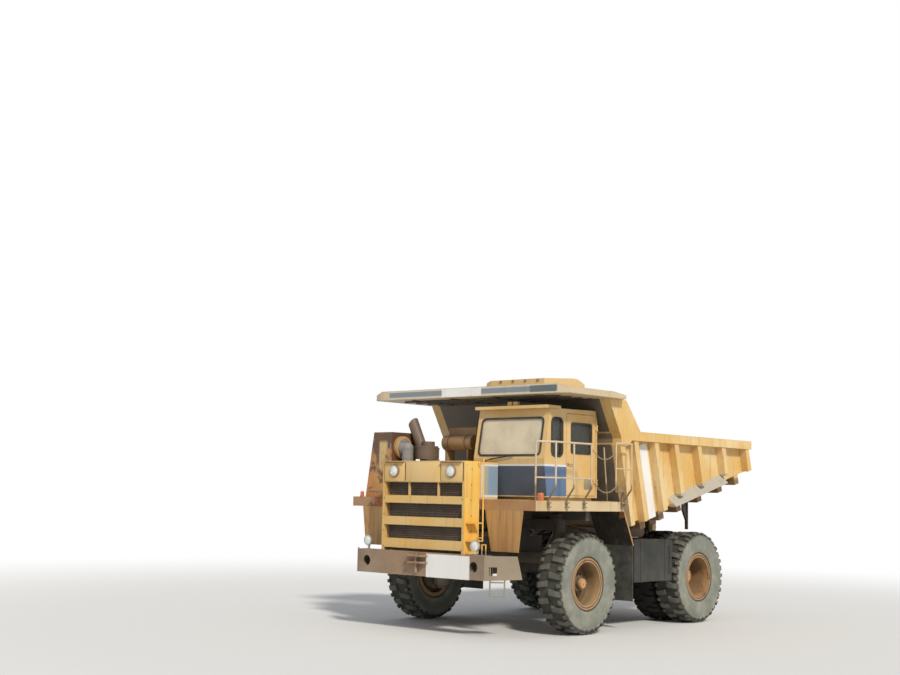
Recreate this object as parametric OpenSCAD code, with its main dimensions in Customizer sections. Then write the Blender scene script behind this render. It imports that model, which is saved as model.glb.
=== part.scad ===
/* [Layout] */
// Distance between the front and the rear axle
wheelbase = 3900; // [3400:10:4400]
// From the front axle forward to the front of the bumper
front_overhang = 2322; // [2100:1:2600]
// Half the width of the two decks
deck_half_w = 2316; // [2280:1:2330]
// Underside of the canopy over the cab
canopy_z = 4420; // [4320:5:4600]
// Gap left between pieces that sit against each other
seat_gap = 0.3; // [0.1:0.1:1]

/* [Tyres and rims] */
// Outer radius of a tyre, over its lugs
tyre_r = 930; // [900:5:960]
// Width of a tyre at its widest
tyre_w = 560; // [530:5:565]
// Depth of the lugs below the outer radius
lug_depth = 45; // [20:1:60]
// Lugs on each side of a tyre, an even number
lug_count = 18; // [14:2:18]
// Radius of the seat that carries the tyre's bead
rim_seat_r = 419; // [400:1:430]
// Radius of a rim's flange
rim_flange_r = 482; // [470:1:495]
// Distance between the inner faces of a rim's flanges
rim_w = 440; // [420:5:460]
// Wall thickness of a rim
rim_t = 14; // [8:1:20]
// Centre of a front wheel from the middle of the truck
front_wheel_x = 1920; // [1915:1:1940]
// Centre of an outer rear wheel from the middle of the truck
rear_wheel_x = 1940; // [1930:1:1960]
// Distance between the centres of two twin wheels
dual_pitch = 630; // [625:1:640]

/* [Steering and front suspension] */
// Distance of a kingpin strut from the middle of the truck
kingpin_x = 1490; // [1470:1:1492]
// Radius of the sliding rod of a front strut
strut_rod_r = 90; // [70:1:100]
// Radius of the housing of a front strut
strut_r = 125; // [115:1:130]
// Running clearance round a kingpin, a spindle or a pin
pin_gap = 1; // [0.5:0.1:2]

/* [Frame] */
// Inner face of a frame rail from the middle
rail_x = 430; // [420:1:450]
// Width of a frame rail
rail_w = 170; // [150:1:180]
// Height of a frame rail
rail_h = 380; // [340:5:400]
// Underside of the frame rails at the front
rail_z = 1060; // [1050:1:1080]
// Rise of the rails over the rear axle
rail_rise = 240; // [220:1:260]

/* [Bumper] */
// Length of the bent wing at each end of the bumper
wing_len = 590; // [450:5:620]
// Half the width of the bumper's face
bumper_half_w = 1600; // [1550:5:1650]
// Height of the bumper
bumper_h = 434; // [400:1:460]
// Underside of the bumper
bumper_z = 1036; // [1000:1:1080]
// Depth of the bumper box
bumper_d = 240; // [200:5:280]
// Radius of the round holes near the bumper's ends
bumper_hole_r = 95; // [70:1:110]
// Distance of these holes from the middle
bumper_hole_x = 1345; // [1300:1:1380]
// Reach of the tow bracket ahead of the bumper
tow_reach = 120; // [90:1:150]
// Radius of the tow pin's hole
tow_pin_r = 32; // [20:1:40]

/* [Radiator shell and hood] */
// Half the width of the radiator shell
shell_half_w = 1040; // [1000:5:1060]
// Top of the radiator shell and the hood
hood_z = 3150; // [3100:5:3200]
// Front of the grille, measured back from the bumper's face
grille_back = 82; // [60:1:100]
// Depth of the radiator shell
shell_d = 410; // [380:5:440]
// Left side of the hood, from the middle
hood_half_w = 840; // [800:5:860]
// Thickness of the hood's sheet
sheet_t = 12; // [6:1:20]

/* [Decks] */
// Underside of the deck's edge
deck_z = 2275; // [2260:1:2290]
// Height of the deck's edge
deck_h = 183; // [160:1:200]
// From the front axle forward to the front of the decks
deck_front = 1789; // [1750:1:1820]
// From the front axle back to the end of the decks
deck_back = 970; // [940:1:980]

/* [Cab] */
// Outer face of the cab's left side
cab_x = 1930; // [1900:1:1950]
// Width of the cab
cab_w = 1700; // [1650:5:1700]
// Thickness of the cab's walls and door
cab_t = 50; // [40:1:60]
// Underside of the cab
cab_z = 2520; // [2500:1:2540]
// Top of the cab's roof
cab_top = 4190; // [4150:1:4220]
// Front edge of the door, back from the front axle
door_front = -380; // [-400:1:-360]
// Rear edge of the door, back from the front axle
door_back = 540; // [520:1:550]

/* [Load body] */
// Half the width of the load space
load_half_w = 2100; // [2050:1:2110]
// Depth of the ribs outside the side plates
rib_d = 160; // [120:1:170]
// Thickness of the body's plates
plate_t = 25; // [16:1:40]
// Top of the side rails
side_top = 3830; // [3780:1:3860]
// Slope of the floor in degrees
floor_slope = 14.2; // [12:0.1:15]
// Height of the floor's underside at the front wall
floor_z = 1990; // [1980:1:2020]
// Front wall's foot, back from the front axle
wall_y = 1260; // [1240:1:1280]
// Tail of the body, back from the front axle
tail = 5990; // [5900:10:6100]
// Half the width of the canopy
canopy_half_w = 2480; // [2400:5:2500]
// From the front axle forward to the front of the canopy
canopy_front = 1131; // [1050:1:1200]

/* [Body hinge and hoists] */
// Body hinge pin, behind the rear axle
hinge_back = 600; // [560:1:640]
// Height of the body hinge pin
hinge_z = 1900; // [1880:1:1920]
// Radius of the body hinge pin
hinge_pin_r = 60; // [50:1:70]
// Distance of a hoist cylinder from the middle
hoist_x = 860; // [840:1:880]
// Radius of a hoist's barrel
hoist_r = 105; // [90:1:115]
// Radius of a hoist's rod
hoist_rod_r = 56; // [45:1:58]

/* [Hidden] */
$fn = 48;

// the origin lies midway between the tow bracket and the tail
nose = front_overhang + tow_reach;
front_axle_y = (nose - tail) / 2;
hub_z = tyre_r;
rear_inner_x = rear_wheel_x - dual_pitch;
bumper_y = -front_overhang;
grille_y = bumper_y + grille_back;
shell_back = grille_y + shell_d;
deck_top = deck_z + deck_h;
rear_rail_z = rail_z + rail_rise;
rail_out = rail_x + rail_w;
hinge_y = wheelbase + hinge_back;

// height of the floor's underside at a place along the truck
function floor_at(y) = floor_z + (y - wall_y) * tan(floor_slope);

// places here are measured back from the front axle
module from_axle() { translate([0, front_axle_y, 0]) children(); }

module both_sides() {
    children();
    mirror([1, 0, 0]) children();
}

// a plate or bar whose side view is a list of places along the truck and heights
module side_profile(points, x_from, x_to) {
    translate([x_from, 0, 0]) rotate([90, 0, 90]) linear_extrude(x_to - x_from) polygon(points);
}

module block(low, high) { translate(low) cube(high - low); }

// a round bar from one point to another
module bar(a, b, r) {
    d = b - a;
    len = norm(d);
    translate(a) rotate([0, acos(d[2] / len), atan2(d[1], d[0])]) cylinder(h = len, r = r);
}

// a bent pipe through a list of points, with a ball a little larger than the pipe at each bend
module pipe(points, r) {
    for (i = [0 : len(points) - 2]) bar(points[i], points[i + 1], r);
    for (i = [1 : len(points) - 2]) translate(points[i]) sphere(r = r + 1);
}

// a cylinder along X
module x_cyl(x_from, x_to, y, z, r) {
    translate([x_from, y, z]) rotate([0, 90, 0]) cylinder(h = x_to - x_from, r = r);
}

// Wheels, drawn along X about their own middle, with the outer side towards +X

// tyre_rows: distance from the tyre's middle and radius at a lug, the same two between lugs, and 1 where
// the ring has three places per lug or 0 where it has half as many
coarse_count = lug_count * 3 / 2;
coarse_fit = 1 / cos(180 / coarse_count);
tyre_rows = [
    [rim_w / 2 - seat_gap, (rim_seat_r + seat_gap) * coarse_fit, 0, 0, 0],
    [rim_w / 2 - seat_gap, (rim_flange_r + seat_gap) * coarse_fit, 0, 0, 0],
    [tyre_w / 2, tyre_r - 240, 0, 0, 0],
    [tyre_w / 2 - 4, tyre_r - 70, tyre_w / 2 - 6, tyre_r - 90, 1],
    [tyre_w / 2 - 20, tyre_r - 10, tyre_w / 2 - 34, tyre_r - 10 - lug_depth, 1],
    [tyre_w / 5, tyre_r, tyre_w / 5, tyre_r, 1]];

function tyre_ring(row, side) = [for (i = [0 : coarse_count * (1 + row[4]) - 1])
    let(
        between = row[4] == 1 && i % 3 == 2,
        lugs_on = row[4] == 1 ? floor(i / 3) + [0, 0.5, 0.75][i % 3] : i / 1.5,
        a = (lugs_on + (side < 0 && row[4] == 1 ? 0.5 : 0)) * 360 / lug_count,
        r = between ? row[3] : row[1])
    [side * (between ? row[2] : row[0]), r * sin(a), -r * cos(a)]];

// triangles between two rings of n places each, or between one of n and one of twice as many
function strip(a, b, n) = [for (i = [0 : n - 1]) let(j = (i + 1) % n)
    each [[a + i, b + j, b + i], [a + i, a + j, b + j]]];
function widen(a, b, n) = [for (i = [0 : n - 1]) let(j = (i + 1) % n, m = b + 2 * i,
    k = b + (2 * i + 2) % (2 * n))
    each [[a + i, m + 1, m], [a + i, a + j, m + 1], [a + j, k, m + 1]]];
function flip(faces) = [for (f = faces) [f[0], f[2], f[1]]];

module tyre() {
    n = coarse_count;
    half = 9 * n;
    half_faces = concat(strip(0, n, n), strip(n, 2 * n, n), widen(2 * n, 3 * n, n),
        strip(3 * n, 5 * n, 2 * n), strip(5 * n, 7 * n, 2 * n));
    far_faces = [for (f = flip(half_faces)) [f[0] + half, f[1] + half, f[2] + half]];
    polyhedron(concat([for (row = tyre_rows) each tyre_ring(row, 1)],
        [for (row = tyre_rows) each tyre_ring(row, -1)]),
        concat(half_faces, far_faces, flip(strip(0, half, n)), strip(7 * n, half + 7 * n, 2 * n)));
}

module rim_section(dish_x, hub_r) {
    flange_x = rim_w / 2;
    translate([rim_seat_r - rim_t, -flange_x]) square([rim_t, rim_w]);
    for (side = [-1, 1]) translate([rim_seat_r - rim_t, side * (flange_x + rim_t / 2) - rim_t / 2])
        square([rim_flange_r - rim_seat_r + rim_t, rim_t]);
    translate([hub_r, dish_x]) square([rim_seat_r - hub_r - rim_t / 2, 25]);
}

module rim(dish_x, hub_r) {
    rotate([0, 90, 0]) rotate_extrude($fn = 96) rim_section(dish_x, hub_r);
}

spindle_r = 75;
axle_end_r = 120;
// from the rear axle forward to the drive's nose
nose_reach = 330;

module front_rim() {
    dish_x = -90;
    hub_out = 30;
    hub_r = 150;
    difference() {
        union() {
            rim(dish_x, hub_r - 1);
            x_cyl(dish_x - 60, hub_out, 0, 0, hub_r);
            x_cyl(hub_out - 1, hub_out + 110, 0, 0, hub_r * 0.62);
        }
        x_cyl(dish_x - 61, hub_out - 30, 0, 0, spindle_r + pin_gap);
    }
}

module rear_rims() {
    dish_x = -rim_w / 2 - 40;
    hub_r = 235;
    hub_in = -dual_pitch + 60;
    difference() {
        union() {
            rim(dish_x + 26, hub_r - 1);
            translate([-dual_pitch, 0, 0]) mirror([1, 0, 0]) rim(dish_x + 26, hub_r - 1);
            rotate([0, 90, 0]) translate([0, 0, -dual_pitch + rim_w / 2 + rim_t - 1])
                difference() {
                    cylinder(h = dual_pitch - rim_w - 2 * rim_t + 2, r = rim_seat_r, $fn = 96);
                    translate([0, 0, -1]) cylinder(h = dual_pitch, r = rim_seat_r - rim_t, $fn = 96);
                }
            x_cyl(hub_in, -80, 0, 0, hub_r);
            x_cyl(-81, -30, 0, 0, hub_r * 0.6);
        }
        x_cyl(hub_in - 1, -120, 0, 0, axle_end_r + pin_gap);
    }
}

module at_front_wheel() { from_axle() translate([front_wheel_x, 0, hub_z]) children(); }
module at_rear_wheel() { from_axle() translate([rear_wheel_x, wheelbase, hub_z]) children(); }

module rim_front_left() { color("peru") at_front_wheel() front_rim(); }
module rim_front_right() { mirror([1, 0, 0]) rim_front_left(); }
module tyre_front_left() { color("dimgray") at_front_wheel() tyre(); }
module tyre_front_right() { mirror([1, 0, 0]) tyre_front_left(); }
module rims_rear_left() { color("peru") at_rear_wheel() rear_rims(); }
module rims_rear_right() { mirror([1, 0, 0]) rims_rear_left(); }
module tyres_rear_left() {
    color("dimgray") at_rear_wheel() for (x = [0, -dual_pitch]) translate([x, 0, 0]) tyre();
}
module tyres_rear_right() { mirror([1, 0, 0]) tyres_rear_left(); }

// Front suspension: a strut on each side, whose rod is the kingpin

knuckle_low = 700;
knuckle_high = 1130;
strut_low = 1180;
strut_high = 2200;
knuckle_r = 165;

module knuckle_left() {
    color("saddlebrown") from_axle() difference() {
        union() {
            translate([kingpin_x, 0, knuckle_low]) cylinder(h = knuckle_high - knuckle_low, r = knuckle_r);
            x_cyl(kingpin_x, front_wheel_x - 20, 0, hub_z, spindle_r);
            x_cyl(kingpin_x + 100, front_wheel_x - 160, 0, hub_z, 150);
            x_cyl(front_wheel_x - 260, front_wheel_x - 161, 0, hub_z, 310);
            block([kingpin_x - 60, 100, knuckle_low + 60], [kingpin_x + 60, 420, knuckle_low + 120]);
        }
        translate([kingpin_x, 0, knuckle_low - 1]) cylinder(h = 500, r = strut_rod_r + pin_gap);
    }
}
module knuckle_right() { mirror([1, 0, 0]) knuckle_left(); }

module front_struts() {
    color("darkslategray") from_axle() both_sides() {
        translate([kingpin_x, 0, strut_low]) cylinder(h = strut_high - strut_low, r = strut_r);
        translate([kingpin_x, 0, knuckle_low - 20])
            cylinder(h = strut_low - knuckle_low + 21, r = strut_rod_r);
        translate([kingpin_x, 0, knuckle_low - 60]) cylinder(h = 54, r = strut_rod_r + 40);
        for (z = [1260, 1900]) difference() {
            block([rail_out + seat_gap, -150, z], [kingpin_x, 150, z + 200]);
            block([rail_out - 10, -110, z + 40], [kingpin_x - strut_r - 60, 110, z + 160]);
        }
        block([rail_out + seat_gap, -20, 1300], [rail_out + 60, 20, 2000]);
        block([rail_out + seat_gap, -150, 1459], [rail_out + 60, 150, 1901]);
        // a beam that carries the deck
        block([kingpin_x - 100, -150, 2099], [kingpin_x + 100, 150, 2180]);
        block([rail_out + 260, -60, 2099], [2150, 60, deck_z - seat_gap]);
    }
}

// Frame

rail_front = bumper_y + bumper_d;
rail_back = hinge_y + 110;

module frame_rail() {
    top = rail_z + rail_h;
    rise_front = wheelbase - 1300;
    rise_back = wheelbase - 900;
    side_profile([[rail_front, rail_z], [rise_front, rail_z], [rise_back, rear_rail_z],
        [rail_back, rear_rail_z], [rail_back, rear_rail_z + rail_h], [rise_back - 100, rear_rail_z + rail_h],
        [rise_front - 100, top], [rail_front, top]], rail_x, rail_out);
}

module hinge_bracket() {
    top = rear_rail_z + rail_h;
    difference() {
        union() {
            x_cyl(rail_x, rail_out, hinge_y, hinge_z, 130);
            side_profile([[hinge_y - 220, top - 1], [hinge_y + 109, top - 1], [hinge_y + 109, hinge_z],
                [hinge_y - 109, hinge_z]], rail_x, rail_out);
        }
        x_cyl(rail_x - 1, rail_out + 1, hinge_y, hinge_z, hinge_pin_r + pin_gap);
    }
}

hoist_low = [wheelbase - 1450, 1000];
hoist_high = [wheelbase - 300, 2350];
hoist_ear_t = 30;
hoist_ear_gap = 8;
hoist_eye_w = 110;
hoist_pin_r = 40;
hoist_ear_r = 68;
// the rear struts stand on pads on the axle's tube, behind its middle
rear_strut_x = 760;
strut_back = wheelbase + 260;

// ears on each side of a hoist's lower eye, hung from a block ahead of the cylinder
module hoist_bracket() {
    ear_in = hoist_x - hoist_eye_w / 2 - hoist_ear_gap - hoist_ear_t;
    ear_out = hoist_x + hoist_eye_w / 2 + hoist_ear_gap;
    front = hoist_low[0] - 230;
    block([rail_out - 1, front, rail_z], [ear_out + hoist_ear_t, front + 80, rail_z + 200]);
    for (x = [ear_in, ear_out]) difference() {
        union() {
            x_cyl(x, x + hoist_ear_t, hoist_low[0], hoist_low[1], hoist_ear_r);
            side_profile([[front + 79, rail_z], [front + 79, rail_z + 180],
                [hoist_low[0], hoist_low[1] + hoist_ear_r],
                [hoist_low[0] - 40, hoist_low[1] - hoist_ear_r + 12]], x, x + hoist_ear_t);
        }
        x_cyl(x - 1, x + hoist_ear_t + 1, hoist_low[0], hoist_low[1], hoist_pin_r + pin_gap);
    }
}

// places along the truck and undersides of the cross members
cross_rows = [[rail_front + 182, rail_z + 20], [-900, rail_z + 20], [1300, rail_z + 270],
    [wheelbase - 1700, rail_z + 150], [wheelbase - 700, rear_rail_z + 80], [hinge_y - 150, rear_rail_z + 80]];

module frame() {
    color("darkslategray") from_axle() {
        both_sides() {
            frame_rail();
            hinge_bracket();
            hoist_bracket();
            block([rail_out - 1, strut_back - 90, rear_rail_z + rail_h - 120],
                [rear_strut_x + 90, strut_back + 90, rear_rail_z + rail_h]);
        }
        for (row = cross_rows)
            block([-rail_x - 1, row[0] - 70, row[1]], [rail_x + 1, row[0] + 70, row[1] + 100]);
    }
}

// Bumper with a bent wing at each end and the tow bracket

wing_t = 25;

module bumper_wing() {
    top = bumper_z + bumper_h;
    translate([bumper_half_w, bumper_y, 0]) rotate([0, 0, 45]) difference() {
        rotate([90, 0, 0]) translate([0, 0, -wing_t]) linear_extrude(wing_t)
            polygon([[0, bumper_z], [wing_len + 90, bumper_z + 30], [wing_len, top], [0, top]]);
        block([90, -50, bumper_z + 90], [230, 100, bumper_z + 240]);
    }
}

module bumper() {
    top = bumper_z + bumper_h;
    wall = 20;
    color("rosybrown") from_axle() {
        difference() {
            block([-bumper_half_w, bumper_y, bumper_z],
                [bumper_half_w, bumper_y + bumper_d - seat_gap, top]);
            block([-bumper_half_w - 1, bumper_y + wall, bumper_z + wall],
                [bumper_half_w + 1, bumper_y + bumper_d - wall, top - wall]);
            for (side = [-1, 1]) translate([side * bumper_hole_x, bumper_y - 1, 1260])
                rotate([-90, 0, 0]) cylinder(h = wall + 2, r = bumper_hole_r);
        }
        both_sides() bumper_wing();
        difference() {
            union() for (z = [1270, 1390])
                side_profile([[bumper_y - tow_reach, z], [bumper_y + 1, z], [bumper_y + 1, z + 30],
                    [bumper_y - tow_reach, z + 30]], -250, 250);
            for (side = [-1, 1]) translate([side * 250, bumper_y - tow_reach, 1260])
                rotate([0, 0, 45]) cube([120, 120, 400], center = true);
            translate([0, bumper_y - tow_reach / 2, 1260]) cylinder(h = 200, r = tow_pin_r);
        }
    }
}

// Ladder under the left wing and the grab rails above it

module access_ladder() {
    pipe_r = 14;
    behind = wing_t + pipe_r + seat_gap;
    color("goldenrod") from_axle() translate([bumper_half_w, bumper_y, 0]) rotate([0, 0, 45]) {
        for (u = [110, 370]) bar([u, behind, 750], [u, behind, bumper_z + 360], pipe_r, $fn = 24);
        for (z = [772, 1010]) bar([110, behind, z], [370, behind, z], pipe_r - 2, $fn = 24);
    }
    // grab rail on the bumper's corner
    color("goldenrod") from_axle() {
        low = bumper_z + bumper_h + seat_gap;
        y = bumper_y + 60;
        inner = bumper_half_w - 110;
        outer = bumper_half_w - 20;
        pipe([[inner, y, low], [inner, y, low + 190], [outer, y, low + 190], [outer, y, low]],
            pipe_r - 3, $fn = 16);
    }
    // long handrail beside the radiator shell
    color("goldenrod") from_axle() {
        x = shell_half_w + 75;
        y = shell_back + 20;
        bar([x, y, 1700], [x, y, hood_z + 60], pipe_r, $fn = 24);
        for (z = [1760, hood_z - 40])
            pipe([[x, y, z], [x, y - 70, z], [shell_half_w + seat_gap, y - 70, z]], pipe_r - 3, $fn = 16);
    }
}

// Radiator shell with its grille bars, headlamp panels and side steps

bar_rows = [[2360, 2506], [1951, 2110], [1525, 1701]];
panel_z = 2750;

module radiator_shell() {
    wall = 60;
    shell_z = bumper_z + bumper_h + seat_gap;
    head_x = 410;
    color("gold") from_axle() {
        difference() {
            block([-shell_half_w, grille_y, shell_z], [shell_half_w, shell_back, hood_z]);
            block([-shell_half_w + wall, grille_y - 1, shell_z - 1],
                [shell_half_w - wall, shell_back + 1, panel_z]);
            block([-shell_half_w + wall, grille_y + wall, shell_z - 1],
                [shell_half_w - wall, shell_back + 1, hood_z - sheet_t]);
            for (side = [-1, 1]) translate([side * (head_x + shell_half_w) / 2, 0, 0])
                block([-(shell_half_w - head_x) / 2 + 30, grille_y - 1, panel_z + 30],
                    [(shell_half_w - head_x) / 2 - 30, grille_y + 40, hood_z - 30]);
        }
        for (row = bar_rows) block([-shell_half_w + wall - 1, grille_y, row[0]],
            [shell_half_w - wall + 1, grille_y + 70, row[1]]);
        for (side = [-1, 1]) block([side * 370 - 15, grille_y + 20, bar_rows[0][1] - 1],
            [side * 370 + 15, grille_y + 60, panel_z + 1]);
        for (z = [1700, 2020])
            block([shell_half_w - 1, grille_y + 30, z], [shell_half_w + 190, grille_y + 280, z + 25]);
    }
}

module radiator_core() {
    half_w = shell_half_w - 60 - seat_gap;
    color("black") from_axle() block([-half_w, grille_y + 140, bumper_z + bumper_h + 20],
        [half_w, grille_y + 330, panel_z + 100]);
}

// Hood: a cover behind the radiator shell, cut back where the cab stands

hood_step = -1070;
hood_back = 0;
cab_in_x = cab_x - cab_w;

module hood_outline(inset) {
    polygon([[inset - shell_half_w, shell_back], [hood_half_w - inset, shell_back],
        [hood_half_w - inset, hood_step - inset], [cab_in_x - 40 - inset, hood_step - inset],
        [cab_in_x - 40 - inset, hood_back - inset], [inset - shell_half_w, hood_back - inset]]);
}

module hood() {
    low = deck_top + seat_gap;
    color("steelblue") from_axle() difference() {
        translate([0, seat_gap, low]) linear_extrude(hood_z - low) hood_outline(0);
        translate([0, 0, low - 1]) linear_extrude(hood_z - low + 1 - sheet_t) hood_outline(sheet_t);
        block([-shell_half_w - 1, shell_back - 1, low - 1],
            [hood_half_w + 1, shell_back + sheet_t, hood_z - sheet_t]);
    }
}

module engine() {
    low = rail_z + 270;
    high = deck_z + 105;
    front = shell_back + 330;
    back = front + 1300;
    half_w = rail_x - 30;
    color("dimgray") from_axle() {
        block([-half_w, front, low], [half_w, back, high]);
        for (y = [front + 50, back - 250])
            block([seat_gap - rail_x, y, low], [rail_x - seat_gap, y + 150, low + 70]);
        block([-120, shell_back - 60, 1900], [120, front + 1, 2050]);
        translate([0, shell_back - 60, 2000]) rotate([-90, 0, 0]) cylinder(h = 40, r = 480);
    }
}

module driveline() {
    color("dimgray") from_axle() {
        block([-300, 200, 1180], [300, 1000, 1750]);
        block([seat_gap - rail_x, 500, 1300], [rail_x - seat_gap, 700, 1400]);
        translate([0, seat_gap - 200, 1480]) rotate([-90, 0, 0]) cylinder(h = 401, r = 60);
        // the shaft stops just short of the drive's nose
        bar([0, 999, 1250], [0, wheelbase - nose_reach - 6.6, 960], 55);
    }
}

// Lamps: two in the radiator shell, two on the bumper

module lamp(r, depth) {
    rotate([90, 0, 0]) {
        cylinder(h = depth, r = r);
        translate([0, 0, depth - 1]) cylinder(h = 15, r1 = r - 6, r2 = r * 0.55);
    }
}

module lamps() {
    color("gainsboro") from_axle() both_sides() {
        translate([720, grille_y + 40 - seat_gap, 2960]) lamp(95, 50);
        translate([1355, bumper_y + 90, bumper_z + bumper_h + 165]) {
            lamp(100, 70);
            translate([-15, -50, -165 + seat_gap]) cube([30, 40, 90]);
        }
    }
    // marker lamps on the decks' front corners
    color("orange") from_axle() {
        translate([deck_half_w - 60, -deck_front - seat_gap, deck_z + 110]) lamp(38, 30);
        translate([-deck_half_w + 190, -deck_front + 60, deck_top + seat_gap]) cylinder(h = 110, r = 45);
    }
}

// Decks: a plate with a deep edge all round

module deck(x_from, x_to, y_from, y_to) {
    edge = 20;
    difference() {
        block([x_from, y_from, deck_z], [x_to, y_to, deck_top]);
        block([x_from + edge, y_from + edge, deck_z - 1], [x_to - edge, y_to - edge, deck_top - edge]);
    }
}

module left_deck() {
    color("khaki") from_axle() deck(hood_half_w + 20, deck_half_w, -deck_front, deck_back);
}
module right_deck() {
    color("sienna") from_axle() deck(-deck_half_w, -shell_half_w - 20, -deck_front, deck_back);
}

// top of the mud flaps and their place behind the front wheels
flap_z = 1620;
flap_y = 1290;

module deck_skirts() {
    color("sienna") from_axle() both_sides() {
        translate([0, -deck_front + 20, 0]) rotate([90, 0, 0]) linear_extrude(20)
            polygon([[1150, deck_z - seat_gap], [2030, deck_z - seat_gap], [1930, 1530], [1300, 1530]]);
        side_profile([[deck_back + seat_gap, deck_z - 20], [deck_back + seat_gap, deck_z + 30],
            [deck_back + 30, deck_z + 30], [flap_y + 35, flap_z], [flap_y, flap_z]], 1500, 2300);
    }
}

module mud_flaps() {
    color("black") from_axle() both_sides()
        block([1500, flap_y, 560], [2290, flap_y + 20, flap_z - seat_gap]);
}

// Handrails along the decks' outer edges

rail_r = 19;
hand_x = 2490;
hand_top = 3510;
hand_mid = 2870;

// line holds the rail's corners in plan, posts the places of its posts
module handrail(line, posts, top = hand_top, mid = hand_mid) {
    post_r = rail_r - 2;
    foot = deck_half_w + post_r + seat_gap;
    pipe([for (p = line) [p[0], p[1], top]], rail_r, $fn = 16);
    pipe([for (p = line) [p[0], p[1], mid]], rail_r - 4, $fn = 16);
    for (p = posts)
        pipe([[p[0], p[1], top], [p[0], p[1], 2700], [foot, p[1], 2490], [foot, p[1], deck_z + 60]],
            post_r, $fn = 16);
}

module handrails() {
    color("wheat") from_axle() {
        // the front post stands on the deck's corner
        corner = [deck_half_w - 46, -1740];
        handrail([corner, [hand_x, -1440], [hand_x, -341]],
            [[hand_x, -1440], [hand_x, -900], [hand_x, -360]]);
        pipe([[corner[0], corner[1], hand_top], [corner[0], corner[1], deck_top + seat_gap]],
            rail_r - 2, $fn = 16);
        handrail([[hand_x, 411], [hand_x, 969]], [[hand_x, 950]], 3560, 3080);
        side_x = deck_half_w + rail_r;
        pipe([[hand_x, 430, 3560], [hand_x, 430, 2650], [hand_x - 60, 800, 2650],
            [side_x, 860, 2600], [side_x, 860, deck_z + 60]], rail_r - 2, $fn = 16);
        mirror([1, 0, 0]) handrail([[hand_x, -619], [hand_x, 919]],
            [[hand_x, -600], [hand_x, 100], [hand_x, 900]], 3510, 2990);
    }
}

// Cab: a hollow shell with cut windows and a doorway

cab_back = 600;
cab_front_foot = -970;
cab_front_belt = -1070;
cab_front_top = -900;
belt_z = 3230;
window_low = 3290;
window_top = 3985;
glass_t = 10;

cab_slope = [3980, 60];
cab_outline = [[cab_front_foot, cab_z], [cab_front_belt, belt_z], [cab_front_top, cab_top - 20],
    [cab_back - cab_slope[1], cab_top], [cab_back, cab_slope[0]], [cab_back, cab_z]];
function cab_inset(t) = [[cab_front_foot + t, cab_z + t], [cab_front_belt + t, belt_z],
    [cab_front_top + t, cab_top - 20 - t], [cab_back - cab_slope[1] - t, cab_top - t],
    [cab_back - t, cab_slope[0] - t], [cab_back - t, cab_z + t]];

quarter_window = [-840, -520];
door_window = [-240, 410];

module window_cuts() {
    // windscreen
    block([cab_in_x + 110, cab_front_belt - 100, window_low],
        [cab_x - 110, cab_front_top + 200, window_top]);
    // quarter window ahead of the door
    block([cab_x - cab_t - 50, quarter_window[0], window_low], [cab_x + 50, quarter_window[1], window_top]);
    // right side window
    block([cab_in_x - 50, -700, window_low + 60], [cab_in_x + cab_t + 50, 350, window_top - 60]);
    // rear window
    block([cab_in_x + 250, cab_back - cab_t - 50, window_low + 100],
        [cab_x - 250, cab_back + 50, window_top - 110]);
}

door_low = cab_z + 40;
door_top = 4090;

// the door turns on two pins outside the cab's side, carried by plates on the rear jamb
hinge_rows = [2760, 3800];
hinge_r = 18;
door_pin_r = 9;
knuckle_h = 60;
plate_h = 25;
door_axis = [cab_x + hinge_r + 0.5, door_back + 20];

module door_pins() {
    upper = plate_h + knuckle_h + 2;
    for (z = hinge_rows) translate([door_axis[0], door_axis[1], z]) {
        cylinder(h = upper + plate_h, r = door_pin_r);
        for (h = [0, upper]) translate([0, 0, h]) {
            cylinder(h = plate_h, r = hinge_r);
            translate([-hinge_r - 1, 0, 0]) cube([hinge_r, 45, plate_h]);
        }
    }
}

module door_knuckles() {
    for (z = hinge_rows) translate([door_axis[0], door_axis[1], z + plate_h + 1]) difference() {
        union() {
            cylinder(h = knuckle_h, r = hinge_r);
            translate([3 - hinge_r, -80, 0]) cube([6, 80, knuckle_h]);
            translate([-hinge_r - 1, -80, 0]) cube([8, 59, knuckle_h]);
        }
        translate([0, 0, -1]) cylinder(h = knuckle_h + 2, r = door_pin_r + pin_gap);
    }
}

module cab_shell() {
    color("khaki") from_axle() {
        door_pins();
        cab_walls();
    }
}

module cab_walls() {
    visor = 130;
    difference() {
        union() {
            side_profile(cab_outline, cab_in_x, cab_x);
            block([cab_in_x - 20, cab_front_top - visor, cab_top - 30],
                [cab_x + 30, cab_front_top + 300, cab_top + 30]);
            // two roof lamps on the visor
            for (x = [-70, 70]) translate([cab_in_x + cab_w / 2 + x, cab_front_top, cab_top])
                block([-50, -60, 29], [50, 10, 110]);
            block([cab_in_x + 200, -800, deck_top + seat_gap], [cab_x - 60, cab_back - 100, cab_z + 1]);
        }
        side_profile(cab_inset(cab_t), cab_in_x + cab_t, cab_x - cab_t);
        window_cuts();
        block([cab_x - cab_t - 50, door_front - 6, door_low - 6],
            [cab_x + 50, door_back + 6, door_top + 6]);
        // room for the hood under the cab
        block([cab_in_x - 190, -801, deck_top - 1], [hood_half_w + 40, cab_back, cab_z]);
    }
}

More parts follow.
